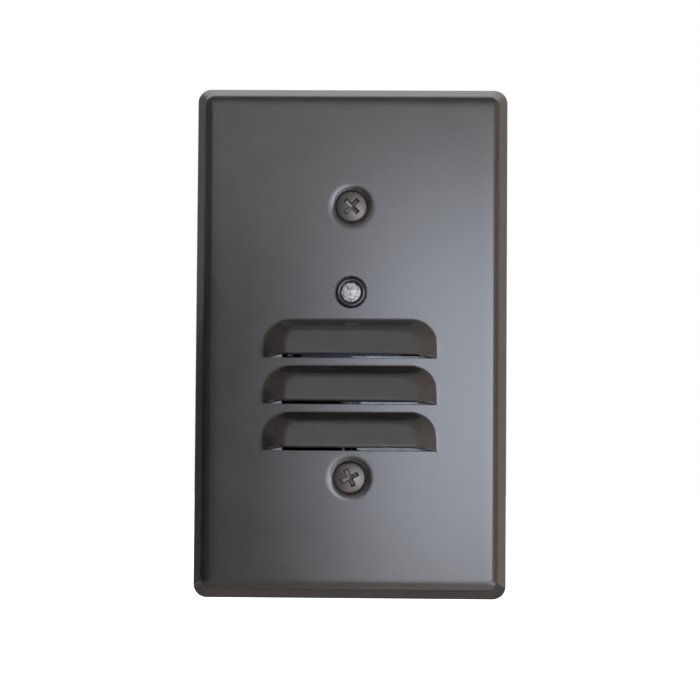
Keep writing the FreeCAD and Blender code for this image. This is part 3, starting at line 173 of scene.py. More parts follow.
def powder_coat():
    """Satin bronze powder: fine orange peel, a slight mottle and thin spots of colour change."""
    f = Finish("bronze_powder_coat", Specular_IOR_Level=0.9)
    peel, fine, cloud = f.grain(0.9 * MM, 1.5), f.grain(0.22 * MM, 2.0), f.grain(9 * MM, 3.0)
    base = f.mix(cloud.between(0.3, 0.7), (0.03, 0.0255, 0.0225), (0.036, 0.031, 0.0275))
    base = f.mix(fine.between(0.55, 0.75) * 0.35, base, (0.05, 0.045, 0.041))
    return f.set(Base_Color=base, Roughness=0.165 + cloud * 0.02,
                 Normal=f.relief(peel * (4e-3 * MM) + fine * (0.8e-3 * MM)))


def moulded(name, deep, light, roughness, pores=0.5):
    """Moulded plastic: a fine spark texture and slow flow clouds."""
    f = Finish(name, Specular_IOR_Level=0.5)
    spark, cloud = f.grain(0.35 * MM, 3.0), f.grain(7 * MM, 2.0)
    return f.set(Base_Color=f.mix(cloud.between(0.3, 0.7), deep, light),
                 Roughness=roughness + spark * 0.12,
                 Normal=f.relief(spark * (pores * 0.02 * MM) + cloud * (0.02 * MM)))


def plated(name, deep, light, roughness, lines=0.3):
    """Plated metal: cloudy passivate, fine drawing lines and small stains."""
    f = Finish(name, Metallic=1.0)
    drawn = f.grain(0.12 * MM, 2.0, along=f.stretched((1, 1, 0.04)))
    cloud, spot = f.grain(5 * MM, 4.0), f.grain(0.8 * MM, 3.0)
    base = f.mix(cloud.between(0.3, 0.7), deep, light)
    base = f.mix(spot.between(0.62, 0.8) * 0.4, base, tuple(0.6 * c for c in deep))
    return f.set(Base_Color=base, Roughness=roughness + cloud * 0.12 + drawn * 0.08,
                 Normal=f.relief(drawn * (lines * 0.006 * MM) + spot * (0.004 * MM)))


def rubber():
    """Soft black rubber: bloom in patches and a fine skin."""
    f = Finish("black_gasket_rubber", Specular_IOR_Level=0.35)
    skin, bloom = f.grain(0.3 * MM, 3.0), f.grain(6 * MM, 4.0)
    base = f.mix(bloom.between(0.35, 0.75), (0.012, 0.012, 0.013), (0.035, 0.035, 0.037))
    return f.set(Base_Color=base, Roughness=0.68 + skin * 0.2, Normal=f.relief(skin * (0.012 * MM)))


def clear(name, deep, light):
    """Clear moulded plastic with a faint flow ripple."""
    f = Finish(name, Transmission_Weight=1.0, IOR=1.49, Roughness=0.02)
    ripple = f.grain(4 * MM, 2.0)
    return f.set(Base_Color=f.mix(ripple, deep, light), Normal=f.relief(ripple * (0.02 * MM)))


def sensor_button():
    """Frosted cell window with painted glints: light speckles that stand in for reflections. The glossy
    surround is painted near black, as shade seen through clear resin.
    """
    f = Finish("sensor_button_resin", Specular_IOR_Level=0.6, IOR=1.5)
    from_middle = (f.axis("X") ** 2 + (f.axis("Z") - SENSOR_Z * MM) ** 2) ** 0.5
    window = 1 - from_middle.between((SENSOR_DOME - 0.04) * MM, (SENSOR_DOME + 0.14) * MM)
    speck_and_glint, cloud = f.cells(0.62 * MM), f.grain(1.4 * MM, 3.0)
    # painted glints: the cells' lighter middles stand in for reflections on the window; the same cells also
    # give it real bumps
    core_with_painted_glints = f.mix((speck_and_glint + cloud * 0.6).between(0.5, 0.95), (0.66, 0.67, 0.68), (0.26, 0.265, 0.27))
    # painted shade: the surround is near black, standing in for the dark inside seen through the clear ring
    base = f.mix(window, f.mix(cloud, (0.008, 0.009, 0.013), (0.03, 0.033, 0.04)), core_with_painted_glints)
    return f.set(Base_Color=base, Roughness=0.05 + cloud * 0.08,
                 Normal=f.relief(window * speck_and_glint * (0.16 * MM) + cloud * (0.03 * MM)))


def bright_plating():
    """Vacuum-metallised reflector: mirror bright with a little haze."""
    f = Finish("bright_plating", Metallic=1.0)
    haze = f.grain(3 * MM, 3.0)
    return f.set(Base_Color=f.mix(haze, (0.82, 0.84, 0.88), (0.9, 0.91, 0.93)),
                 Roughness=0.06 + haze * 0.1, Normal=f.relief(haze * (0.03 * MM)))


def board(name, mask, lighter):
    """Circuit board: solder mask over a faint glass weave."""
    f = Finish(name, Specular_IOR_Level=0.5)
    sockets = {"Vector": f.place, "Scale": 1 / (3 * MM)}
    across, up = (f.node("ShaderNodeTexWave", {"wave_type": "BANDS", "bands_direction": axis}, sockets)
                  for axis in "XZ")
    weave, cloud = across + up, f.grain(5 * MM)
    return f.set(Base_Color=f.mix(weave * 0.35 + cloud * 0.3, mask, lighter),
                 Roughness=0.28 + cloud * 0.15, Normal=f.relief(weave * (0.004 * MM)))


FINISHES = {
    "bronze_paint": powder_coat(),
    "black_rubber": rubber(),
    "bronze_screw": plated("bronze_screw_finish", (0.165, 0.152, 0.148), (0.24, 0.222, 0.215), 0.44),
    "zinc_steel": plated("zinc_strap", (0.42, 0.43, 0.45), (0.62, 0.62, 0.63), 0.3, 1.0),
    "zinc_screw": plated("zinc_screw_finish", (0.45, 0.45, 0.48), (0.66, 0.66, 0.68), 0.25),
    "fibre": moulded("red_fibre", (0.22, 0.05, 0.03), (0.3, 0.085, 0.05), 0.6, 1.0),
    "white_plastic": moulded("white_moulding", (0.83, 0.83, 0.82), (0.89, 0.89, 0.88), 0.4),
    "clear_plastic": clear("clear_moulding", (0.93, 0.97, 1.0), (1, 1, 1)),
    "smoke_lens": clear("smoke_lens_moulding", (0.24, 0.28, 0.34), (0.36, 0.4, 0.47)),
    "sensor_button": sensor_button(),
    "chrome_plating": bright_plating(),
    "white_board": board("white_board", (0.74, 0.75, 0.73), (0.84, 0.85, 0.84)),
    "lamp_chip": moulded("lamp_chip_body", (0.75, 0.6, 0.12), (0.9, 0.78, 0.25), 0.3),
    "green_board": board("green_board", (0.01, 0.09, 0.035), (0.02, 0.15, 0.06)),
    "black_plastic": moulded("black_moulding", (0.02, 0.02, 0.021), (0.03, 0.03, 0.031), 0.42),
    "cell_body": moulded("cell_body", (0.3, 0.3, 0.32), (0.4, 0.4, 0.42), 0.3),
    "brass": plated("brass", (0.6, 0.4, 0.13), (0.78, 0.56, 0.24), 0.25),
    "nickel": plated("nickel", (0.5, 0.47, 0.43), (0.66, 0.62, 0.56), 0.22),
    "green_screw": plated("green_screw_finish", (0.03, 0.2, 0.08), (0.06, 0.32, 0.14), 0.3),
    "film_box": moulded("yellow_film_box", (0.55, 0.3, 0.02), (0.66, 0.38, 0.04), 0.35),
    "capacitor_sleeve": moulded("capacitor_sleeve", (0.015, 0.02, 0.035), (0.03, 0.035, 0.05), 0.3),
    "fuse_body": moulded("fuse_body", (0.25, 0.16, 0.09), (0.35, 0.24, 0.14), 0.35),
    "varistor_lacquer": moulded("varistor_lacquer", (0.02, 0.1, 0.3), (0.03, 0.14, 0.38), 0.3),
}


# ---------------------------------------------------------------- surfaces from whole arrays

WELD = 1e-4                  # points closer than this, in mm, are one


def put(name, data):
    """A new object of the scene, at the origin."""
    thing = bpy.data.objects.new(name, data)
    bpy.context.scene.collection.objects.link(thing)
    return thing


class Skin:
    """Collects grids of points, in millimetres, into one mesh in which points that coincide are one."""

    def __init__(self):
        self.points, self.quads, self.count = [], [], 0

    def sheet(self, grid, keep=None, flip=False, closed=False):
        """Adds a grid (rows, columns, 3); keep marks the cells that are filled, flip turns the faces over,
        and closed joins the last column to the first."""
        rows, columns = grid.shape[:2]
        index = np.arange(rows * columns).reshape(rows, columns) + self.count
        if closed:
            index = np.concatenate([index, index[:, :1]], axis=1)
        cells = np.stack([index[:-1, :-1], index[:-1, 1:], index[1:, 1:], index[1:, :-1]], -1)
        cells = cells[keep] if keep is not None else cells.reshape(-1, 4)
        self.points.append(grid.reshape(-1, 3))
        self.quads.append(cells[:, ::-1] if flip else cells)
        self.count += rows * columns

    def piece(self, name, finish, body, *nodes, sharp=None):
        """Makes the mesh, in the place of nodes; a quad with two corners on one point becomes a triangle."""
        points, quads = np.concatenate(self.points), np.concatenate(self.quads)
        _, first, to = np.unique(np.round(points / WELD).astype(np.int64), axis=0,
                                 return_index=True, return_inverse=True)
        quads = to.reshape(-1)[quads]
        alike = quads == np.roll(quads, -1, axis=1)
        sound = (quads[:, 0] != quads[:, 2]) & (quads[:, 1] != quads[:, 3])
        whole = quads[(alike.sum(1) == 0) & sound]
        pinched = (alike.sum(1) == 1) & sound
        triangles = quads[pinched][~alike[pinched]].reshape(-1, 3)
        mesh = bpy.data.meshes.new(name)
        mesh.from_pydata((points[first] * MM).tolist(), [], whole.tolist() + triangles.tolist())
        mesh.validate()
        mesh.shade_smooth()
        if sharp:
            mesh.set_sharp_from_angle(angle=math.radians(sharp))
        mesh.materials.append(FINISHES[finish])
        thing = put(name, mesh)
        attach(thing, body)
        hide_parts(*nodes)


def unit(vectors):
    """Vectors of length 1."""
    return vectors / np.maximum(np.linalg.norm(vectors, axis=-1, keepdims=True), 1e-12)


def smooth_step(value):
    value = np.clip(value, 0, 1)
    return value * value * (3 - 2 * value)


def soft_min(a, b, reach):
    """The lower of two heights, rounded where they come within reach of each other."""
    return np.minimum(a, b) - np.maximum(reach - np.abs(a - b), 0) ** 2 / (4 * reach)


def soft_max(a, b, reach):
    return -soft_min(-a, -b, reach)


def place_points(x, y, z):
    return np.stack(np.broadcast_arrays(x, y, z), -1).astype(float)


def rolled_strip(outer, inner, outer_out, inner_out, radius):
    """The cut edge of a sheet: from the outer surface over a small round, straight across, and over a second
    round to the inner surface. outer_out and inner_out point along the surfaces past the edge. Gives the rows
    of the strip; its first and last rows are where the surfaces now end."""
    across = unit(inner - outer)
    radius = np.asarray(radius)[..., None]
    steps = np.linspace(0, 1, 6)[:, None, None]

    def turn(corner, start, end):
        return (1 - steps) ** 2 * start + 2 * steps * (1 - steps) * corner + steps ** 2 * end

    return np.concatenate([turn(outer, outer - radius * outer_out, outer + radius * across),
                           turn(inner, inner - radius * across, inner - radius * inner_out)])


# ---------------------------------------------------------------- faceplate

HALF_WIDTH, HALF_HEIGHT, PLATE_DEPTH, SHEET = 34.925, 57.15, 5.6, 0.9
DRAFT, BEND = math.radians(25), 2.2
RIM_STRAIGHT = (PLATE_DEPTH - BEND * (1 - math.sin(DRAFT))) / math.cos(DRAFT)
RIM_END = RIM_STRAIGHT + BEND * (math.pi / 2 - DRAFT)   # along the section, where the flat face starts
RIM_INSET = RIM_STRAIGHT * math.sin(DRAFT) + BEND * math.cos(DRAFT)
FACE_HALF_WIDTH, FACE_HALF_HEIGHT = HALF_WIDTH - RIM_INSET, HALF_HEIGHT - RIM_INSET
U_HALF, V_HALF = FACE_HALF_WIDTH + RIM_END, FACE_HALF_HEIGHT + RIM_END
CORNER_AT = (0, RIM_STRAIGHT, RIM_END, RIM_END + 3)     # along the section
CORNER_RADII = (3.0, 2.15, 0.5, 1e-3)
RIM_S = np.concatenate([[0.15, 0.5, 1.2, 2.2, 3.2, 4.1], np.linspace(RIM_STRAIGHT, RIM_END, 11)])
EDGE_ROUND, LIP_ROUND = 0.12, 0.2                       # rounds along the cut edges and along the lips
EDGE_FULL, LIP_FULL = 0.5, 0.9                          # height of the hood at which they have grown full

CUTS = (-24.16, -13.86, -3.56)         # z of the sheared edges
# a hood's half width, height and corner radius at the face, and what they lose on the way to the front
HOOD_HALF, HOOD_TOP, HOOD_CORNER = 19.2, 8.4, 5.8
CHEEK, SHOULDER, CORNER_LOSS = 4.2, 1.9, 2.4
HOOD_DEPTH, HOOD_SLOPE, MOUTH_RISE = 3.1, math.tan(math.radians(9)), 0.85
LIP_UPRIGHT = 0.55                     # height over which the front comes upright at its lip
LIFT_FADE = 2.5                        # height over which the rows above a cut rise with its lip
T_RANGE, HALVINGS = (-0.6, 2.0), 26    # where t is looked for, and in how many steps
FRONT_REACH, CHEEK_MORE = 0.8, 0.9     # reach of the round at the front's edge, and what it gains beside it
FACE_REACH, CHEEK_LESS = 0.25, 0.13    # reach of the round at the face, and what it loses beside the front
MOUTH_HALF = 19.4                      # past the ends of the mouth, where the face is flat again
HOOD_STEPS = np.array([0, .15, .35, .6, 1, 1.5, 2.2, 3, 3.8, 4.4, 4.8, 5.1, 5.35, 5.6, 5.85, 6.1, 6.35, 6.6,
                       6.85, 7.1, 7.35, 7.6, 7.85, 8.05, 8.2, 8.35, 8.5, 8.7, 9.0, 9.5, 10.0, 10.15])

SCREW_Z = 30.1625
CONE = math.radians(41)
# radius and y of a screw's seat: the countersink's cone, its soft upper edge and the bowl of the dimple
SEAT = ((2.0, -3.125), (3.4995, -4.85), (3.6, -5.05), (3.7, -5.205), (3.8, -5.32), (3.92, -5.41),
        (4.1, -5.49), (4.35, -5.55), (4.65, -5.582), (5.0, -5.595), (5.3, -5.599), (5.45, -5.6))
# z and radius of each hole, and the reach at which its rings are the last circle and the first square
HOLES = ((-SCREW_Z, 2.0, 5.6, 5.99), (SENSOR_Z, 3.5, 4.1, 4.65), (SCREW_Z, 2.0, 5.6, 5.99))
RING_STEPS = np.array([0, .333, .667, 1, 1.333, 1.667, 2, 2.5, 3, 3.5, 3.6, 3.7, 3.8, 3.92, 4.1, 4.35, 4.65,
                       5.0, 5.3, 5.45, 5.6, 5.99])
SENSOR_RINGS = 4.8           # the rings round the sensor's hole stay within this
# spacing of the columns on flat parts and where the hoods turn, and of the rows on flat parts
FLAT_X, HOOD_X, FLAT_Z = 1.1, 0.275, 1.3


def rim_section(s):
    """Inset, y and lean of the plate's outer section at s along it from the wall: a straight rim that leans
    in by the draft, an arc through the bend, then flat."""
    lean = np.clip(DRAFT + (s - RIM_STRAIGHT) / BEND, DRAFT, math.pi / 2)
    straight, flat = np.minimum(s, RIM_STRAIGHT), np.maximum(s - RIM_END, 0)
    inset = straight * math.sin(DRAFT) + BEND * (math.cos(DRAFT) - np.cos(lean)) + flat
    return inset, -straight * math.cos(DRAFT) + BEND * (math.sin(DRAFT) - np.sin(lean)), lean


def plate_point(u, v):
    """x, y, z, outward plan direction, lean and s of the plate at unfolded u, v. The nearer edge gives s, and
    on each ring of one s the square corner becomes a quarter circle, shared evenly by its two sides."""
    du, dv = U_HALF - np.abs(u), V_HALF - np.abs(v)
    s = np.minimum(du, dv)
    inset, y, lean = rim_section(s)
    sides = du <= dv
    along = rim_section(np.where(sides, dv, du))[0] - inset
    radius = np.interp(s, CORNER_AT, CORNER_RADII)
    angle = math.pi / 4 * np.clip(1 - along / radius, 0, 1)
    own = np.where(sides, HALF_WIDTH, HALF_HEIGHT) - inset
    other = np.where(sides, HALF_HEIGHT, HALF_WIDTH) - inset
    a = own - radius + radius * np.cos(angle)
    b = np.where(along < radius, other - radius + radius * np.sin(angle), other - along)
    x, z = np.where(sides, a, b) * np.sign(u), np.where(sides, b, a) * np.sign(v)
    out_x = np.where(sides, np.cos(angle), np.sin(angle)) * np.sign(u)
    out_z = np.where(sides, np.sin(angle), np.cos(angle)) * np.sign(v)
    return x, y, z, out_x, out_z, lean, s


def hood_height(x, rise):
    """How far a louvre stands out at x and at rise above its sheared edge. A D-shaped outline shrinks from
    the face to the front as t goes from 0 to 1, t is found by halving, and the height is t times the front's
    own height there. The front is a plane that leans back and stands upright at its lip. Both meet, and meet
    the face, in soft rounds; past the front's ends its own round is wider and the one at the face tighter."""
    x = np.abs(x)
    low, high = (np.full(np.shape(x + rise), end) for end in T_RANGE)
    for _ in range(HALVINGS):
        t = (low + high) / 2
        half, top, corner = HOOD_HALF - CHEEK * t, HOOD_TOP - SHOULDER * t, HOOD_CORNER - CORNER_LOSS * t
        dx, dz = x - half + corner, rise - top + corner
        past = np.where((dx > 0) & (dz > 0), np.hypot(dx, dz) - corner, np.maximum(x - half, rise - top))
        low, high = np.where(past > 0, low, t), np.where(past > 0, t, high)
    turned = np.clip(dz / corner, 0, 1)
    front_top, front_corner = HOOD_TOP - SHOULDER, HOOD_CORNER - CORNER_LOSS
    foot = front_top - front_corner
    across = np.where(dz > 0, foot + front_corner * turned, rise * foot / np.maximum(top - corner, 0.1))
    ramp = t * (HOOD_DEPTH - (across - MOUTH_RISE) * HOOD_SLOPE)
    above = np.maximum(rise - MOUTH_RISE, 0)
    lean = np.where(above < LIP_UPRIGHT, above ** 2 / (2 * LIP_UPRIGHT), above - LIP_UPRIGHT / 2)
    front = HOOD_DEPTH - HOOD_SLOPE * lean
    beside = smooth_step((x - HOOD_HALF + HOOD_CORNER) / HOOD_CORNER)
    hood = soft_min(ramp, front, FRONT_REACH + CHEEK_MORE * beside)
    return soft_max(hood, 0.0, FACE_REACH - CHEEK_LESS * beside)


def ring_warp(x, z, centre, full, end):
    """Turns the square rings round a centre into circles, with their points evenly spaced, up to full, and
    fades out to squares at end."""
    dx, dz = x, z - centre
    reach = np.maximum(np.abs(dx), np.abs(dz))
    wide = np.abs(dx) >= np.abs(dz)
    safe = np.where(reach > 0, reach, 1)
    turn = math.pi / 4 * np.where(wide, dz, dx) / safe
    a, b = reach * np.cos(turn), reach * np.sin(turn)
    cx, cz = np.where(wide, a * np.sign(dx), b), np.where(wide, b, a * np.sign(dz))
    amount = np.where(reach < end, smooth_step((end - reach) / (end - full)), 0)
    return x + (cx - dx) * amount, z + (cz - dz) * amount, reach


def spread(values, least=0.06):
    """Sorted values without the ones that crowd the one before."""
    values = np.sort(np.asarray(values))
    kept = [values[0]]
    for value in values[1:]:
        if value - kept[-1] > least:
            kept.append(value)
    return np.array(kept)


def plate_columns():
    """Columns of the plate, closest where the hoods turn into their ends and at the rim."""
    half = spread(np.concatenate([RING_STEPS, np.arange(7, 12.5, FLAT_X), np.arange(12.7, 19.3, HOOD_X),
                                  [MOUTH_HALF], np.arange(20.4, FACE_HALF_WIDTH - 0.7, FLAT_X)]))
    half = np.concatenate([half, (U_HALF - RIM_S)[::-1]])
    return np.concatenate([-half[:0:-1], half])


def plate_rows():
    """Rows of the four bands between the sheared edges, from the bottom."""
    rings = np.concatenate([-RING_STEPS[:0:-1], RING_STEPS])
    near = rings[np.abs(rings) < SENSOR_RINGS]
    pitch, rim = CUTS[1] - CUTS[0], V_HALF - RIM_S
    below = np.arange(0.8 - FACE_HALF_HEIGHT, -SCREW_Z - 7.2, FLAT_Z)
    low = np.concatenate([-rim, spread(np.concatenate([below, -SCREW_Z + rings[:-1]])), [CUTS[0]]])
    mid = [np.append(cut + HOOD_STEPS[HOOD_STEPS < pitch - 0.1], cut + pitch) for cut in CUTS[:2]]
    above = np.arange(SCREW_Z + 7.8, FACE_HALF_HEIGHT - 0.7, FLAT_Z)
    top = np.concatenate([CUTS[2] + HOOD_STEPS[HOOD_STEPS < 9.6], SENSOR_Z + near,
                          np.arange(16.6, SCREW_Z - 7.2, FLAT_Z), SCREW_Z + rings, above, rim[::-1]])
    return [low, mid[0], mid[1], top]


def roll_cut(skin, outer, inner, row, mouth, radius):
    """Rolls the sheet's edge along the mouth in the first or last row; both surfaces then end at the roll."""
    near = 1 if row == 0 else row - 1
    strip = rolled_strip(outer[row, mouth], inner[row, mouth], unit(outer[row] - outer[near])[mouth],
                         unit(inner[row] - inner[near])[mouth], radius)
    outer[row, mouth], inner[row, mouth] = strip[0], strip[-1]
    skin.sheet(strip, flip=row == 0)


def roll_hole(skin, outer, inner, centre, i0, i1, j0, j1):
    """Rolls the edge of a hole between rows i0 and i1 and columns j0 and j1. A screw's hole goes on along the
    cone of its countersink, the sensor's goes straight through."""
    wide, tall = j1 - j0, i1 - i0
    path_i = np.concatenate([np.full(wide, i0), np.arange(i0, i1), np.full(wide, i1), np.arange(i1, i0, -1)])
    path_j = np.concatenate([np.arange(j0, j1), np.full(tall, j1), np.arange(j1, j0, -1), np.full(tall, j0)])
    ring, back = outer[path_i, path_j], inner[path_i, path_j]
    into = -unit((ring - (0, 0, centre)) * (1, 0, 1))
    if centre != SENSOR_Z:
        back = ring + (0, SHEET / math.sin(CONE), 0)
        into = into * math.sin(CONE) + np.array([0, math.cos(CONE), 0])
    strip = rolled_strip(ring, back, into, into, EDGE_ROUND * np.ones(len(ring)))
    outer[path_i, path_j], inner[path_i, path_j] = strip[0], strip[-1]
    skin.sheet(strip, closed=True)


def faceplate():
    """The pressed plate: four bands of outer and inner surface, and rolled strips along every cut edge."""
    skin = Skin()
    columns = plate_columns()
    mouth = np.abs(columns) <= MOUTH_HALF + 1e-6
    bands, section = plate_rows(), wall_edge_section()
    for k, rows in enumerate(bands):
        cut = CUTS[k - 1] if k else None
        u, v = np.meshgrid(columns, rows)
        x, y, z, out_x, out_z, lean, s = plate_point(u, v)
        flat = s > RIM_END + 0.05
        keep = np.ones((len(rows) - 1, len(columns) - 1), bool)
        holes = []
        for centre, hole, full, end in HOLES:
            if not rows[0] < centre < rows[-1]:
                continue
            x, z, reach = ring_warp(x, z, centre, full, end)
            if centre != SENSOR_Z:
                radii, depths = zip(*SEAT)
                y = np.where(reach < SEAT[-1][0], np.interp(reach, radii, depths), y)
            i0, i1 = (np.argmin(np.abs(rows - centre - w)) for w in (-hole, hole))
            j0, j1 = (np.argmin(np.abs(columns - w)) for w in (-hole, hole))
            keep[i0:i1, j0:j1] = False
            holes.append((centre, i0, i1, j0, j1))
        if cut is not None:
            lift = 0
            for _ in range(4):
                lip = hood_height(x[0], lift)
                lift = MOUTH_RISE / HOOD_DEPTH * lip
            z = z + lift * np.clip(1 - (z - cut) / LIFT_FADE, 0, 1)
            y = y - np.where(flat, hood_height(x, z - cut), 0)
        outer = place_points(x, y, z)
        normal = unit(np.cross(np.gradient(outer, axis=1), np.gradient(outer, axis=0)))
        normal[:, np.abs(columns) > MOUTH_HALF - 1e-6] = (0, -1, 0)
        inner = outer - SHEET * normal
        # the rim's inner wall follows its own section, and stands on the wall plane
        along = s + SHEET * math.tan(DRAFT) * np.clip(1 - s / RIM_STRAIGHT, 0, 1)
        off = (along - s) * math.sin(DRAFT) + SHEET * np.cos(lean)
        rim_y = y + SHEET * np.sin(lean) - (along - s) * math.cos(DRAFT)
        inner = np.where(flat[..., None], inner, place_points(x - off * out_x, rim_y, z - off * out_z))
        if cut is not None:
            set_back = np.maximum(-PLATE_DEPTH - inner[0, :, 1], 0)
            inner[0, :, 2] = np.where(flat[0], cut + MOUTH_RISE / HOOD_DEPTH * set_back, inner[0, :, 2])
            roll_cut(skin, outer, inner, 0, mouth, LIP_ROUND * smooth_step(lip[mouth] / LIP_FULL))
        if k < len(CUTS):
            hood_above = hood_height(columns[mouth], 0.1)
            roll_cut(skin, outer, inner, -1, mouth, EDGE_ROUND * smooth_step(hood_above / EDGE_FULL))
        for hole in holes:
            roll_hole(skin, outer, inner, *hole)
        skin.sheet(outer, keep)
        skin.sheet(inner, keep, flip=True)
        # the edge that lies on the wall
        edges = [(outer[:, 0], out_x[:, 0], out_z[:, 0], False),
                 (outer[:, -1], out_x[:, -1], out_z[:, -1], True)]
        if k == 0:
            edges.append((outer[0], out_x[0], out_z[0], True))
        if k == len(bands) - 1:
            edges.append((outer[-1], out_x[-1], out_z[-1], False))
        for row, dx, dz, flip in edges:
            out = place_points(dx, 0, dz)
            strip = [row - (inset - section[0, 0]) * out + (0, depth - section[0, 1], 0)
                     for inset, depth in section]
            skin.sheet(np.array(strip), flip=flip)
    skin.piece("louvred_faceplate", "bronze_paint", "cover", "faceplate")


def wall_edge_section():
    """Inset and y round the edge on the wall, from the outer rim over a small round, along the wall plane and
    over a second round into the inner rim."""
    start = RIM_S[0]
    along = start + SHEET * math.tan(DRAFT) * (1 - start / RIM_STRAIGHT)
    lean_in, lean_y = math.sin(DRAFT), math.cos(DRAFT)
    first = np.array([start * lean_in, -start * lean_y])
    last = np.array([along * lean_in + SHEET * lean_y, SHEET * lean_in - along * lean_y])
    corner = np.array([SHEET / lean_y, 0])
    t = np.linspace(0, 1, 4)[:, None]
    one = (1 - t) ** 2 * first + t ** 2 * np.array([start, 0])
    two = (1 - t) ** 2 * (corner - (start, 0)) + 2 * t * (1 - t) * corner + t ** 2 * last
    return np.concatenate([one, two])


# ---------------------------------------------------------------- screws

RINGS = 27                   # rings of a head from its middle to its rim; a multiple of 3, for the hexagon
SQUARE_SHARE = 0.64          # share of the head's radius in which the rings are squares
PITCH, THREAD_DEPTH = 0.794, 0.45
THREAD_ROWS = ((0.0, 0.0), (0.13, 0.0), (0.5, 1.0), (0.64, 1.0))   # place along one pitch, share of the depth
THREAD_FADE = 1.2            # turns over which the thread runs out below the head
TIP_INSET, TIP_SLOPE = 0.06, 1.2       # the tip's face inside the thread's root, and its cone to the crests
WALL_SLOPE, END_SLOPE = 12.0, 4.0      # of a recess, along its arms and at their ends
CREASE = 28                  # edges sharper than this, in degrees, are shaded sharp


def recess(a, b, cross, slot):
    """Depth of the driver recess: a cross, whose arms' floors rise outwards and whose inner corners are
    rounded, and a straight slot that is longer and shallower. Walls are steep planes. cross gives the arms'
    half width, reach and depth in the middle and at the ends; slot its half width, reach and depth."""
    wide, long = np.minimum(np.abs(a), np.abs(b)), np.maximum(np.abs(a), np.abs(b))
    half, reach, deep, end = cross
    side = soft_max(half - wide, half - long, 0.3)
    floor_depth = deep + (end - deep) * long / reach
    depth = np.minimum(np.minimum(floor_depth, side * WALL_SLOPE), (reach - long) * END_SLOPE)
    if slot:
        half, reach, deep = slot
        own = np.minimum((half - np.abs(b)) * WALL_SLOPE, (reach - np.abs(a)) * WALL_SLOPE)
        depth = np.maximum(depth, np.minimum(own, deep))
    return np.maximum(depth, 0)


def head_lines(radius, cross, slot):
    """Lines of a head from its middle to its rim: along the feet and tops of the recess's walls, with the
    widest gaps halved until there are enough."""
    half, reach, deep, end = cross
    foot, end_foot = half - deep / WALL_SLOPE, reach - end / END_SLOPE
    marks = [0, foot / 2, foot, half - 0.01, half + 0.04, half + 0.1, half + 0.18, half + 0.3,
             end_foot, reach, reach + 0.08]
    if slot:
        half, reach, deep = slot
        marks += [half - deep / WALL_SLOPE, half, reach - deep / WALL_SLOPE, reach, reach + 0.06]
    marks = spread(marks + [radius], 0.03)
    while len(marks) <= RINGS:
        widest = int(np.argmax(np.diff(marks)))
        marks = np.insert(marks, widest + 1, (marks[widest] + marks[widest + 1]) / 2)
    return marks


def head_grid(radius, cross, slot, hexagon):
    """Plan of a head as a square grid of points, and each point's ring. The middle is a square grid along the
    recess; further out each square gives way to a circle, as fast as its corners' own radius grows evenly to
    the rim. The lines beside a slot stay straight; the other points of a ring share its eighths evenly."""
    lines = head_lines(radius, cross, slot)
    middle = int(np.searchsorted(lines, SQUARE_SHARE * radius)) - 1
    straight = int(np.searchsorted(lines, slot[0] + 0.01)) if slot else 0
    i, j = np.meshgrid(*[np.arange(-RINGS, RINGS + 1)] * 2)
    ring, lesser = np.maximum(np.abs(i), np.abs(j)), np.minimum(np.abs(i), np.abs(j))
    half, edge, inside = lines[ring], lines[middle], lines[straight]
    outer = ring > middle
    rest = np.clip((lesser - straight) / np.maximum(ring - straight, 1), 0, 1)
    even = np.interp(straight + rest * (middle - straight), np.arange(RINGS + 1), lines)
    along = inside + (half - inside) / (edge - inside) * (even - inside)
    along = np.where(~outer | (lesser <= straight), lines[lesser], along)
    start = np.arcsin(np.minimum(inside / np.maximum(half, edge), 1))
    theta = np.where(lesser <= straight, np.arcsin(np.minimum(lines[lesser] / np.maximum(half, edge), 1)),
                     start + (math.pi / 4 - start) * rest)
    if hexagon:
        share = np.clip((half - slot[1]) / (lines[-2] - slot[1]), 0, 1)
        theta += (math.pi / 4 * lesser / np.maximum(ring, 1) - theta) * share
    corner = np.interp(half, [edge, radius], [edge * math.sqrt(2), radius])
    amount = np.where(outer, (math.sqrt(2) - corner / np.maximum(half, edge)) / (math.sqrt(2) - 1), 0)
    first = half + (half * np.cos(theta) - half) * amount
    second = along + (half * np.sin(theta) - along) * amount
    wide = np.abs(i) >= np.abs(j)
    return np.where(wide, first, second) * np.sign(i), np.where(wide, second, first) * np.sign(j), ring


def border_path():
    """Rows and columns of the head grid's border, once round from the middle of its +a side."""
    low, high, end = np.arange(RINGS), np.arange(RINGS, 2 * RINGS), 2 * RINGS
    up, down, full = np.arange(end), np.arange(end, 0, -1), np.full(end, end)
    return (np.concatenate([high, full, down, 0 * up, low]),
            np.concatenate([full[:RINGS], down, 0 * up, up, full[:RINGS]]))


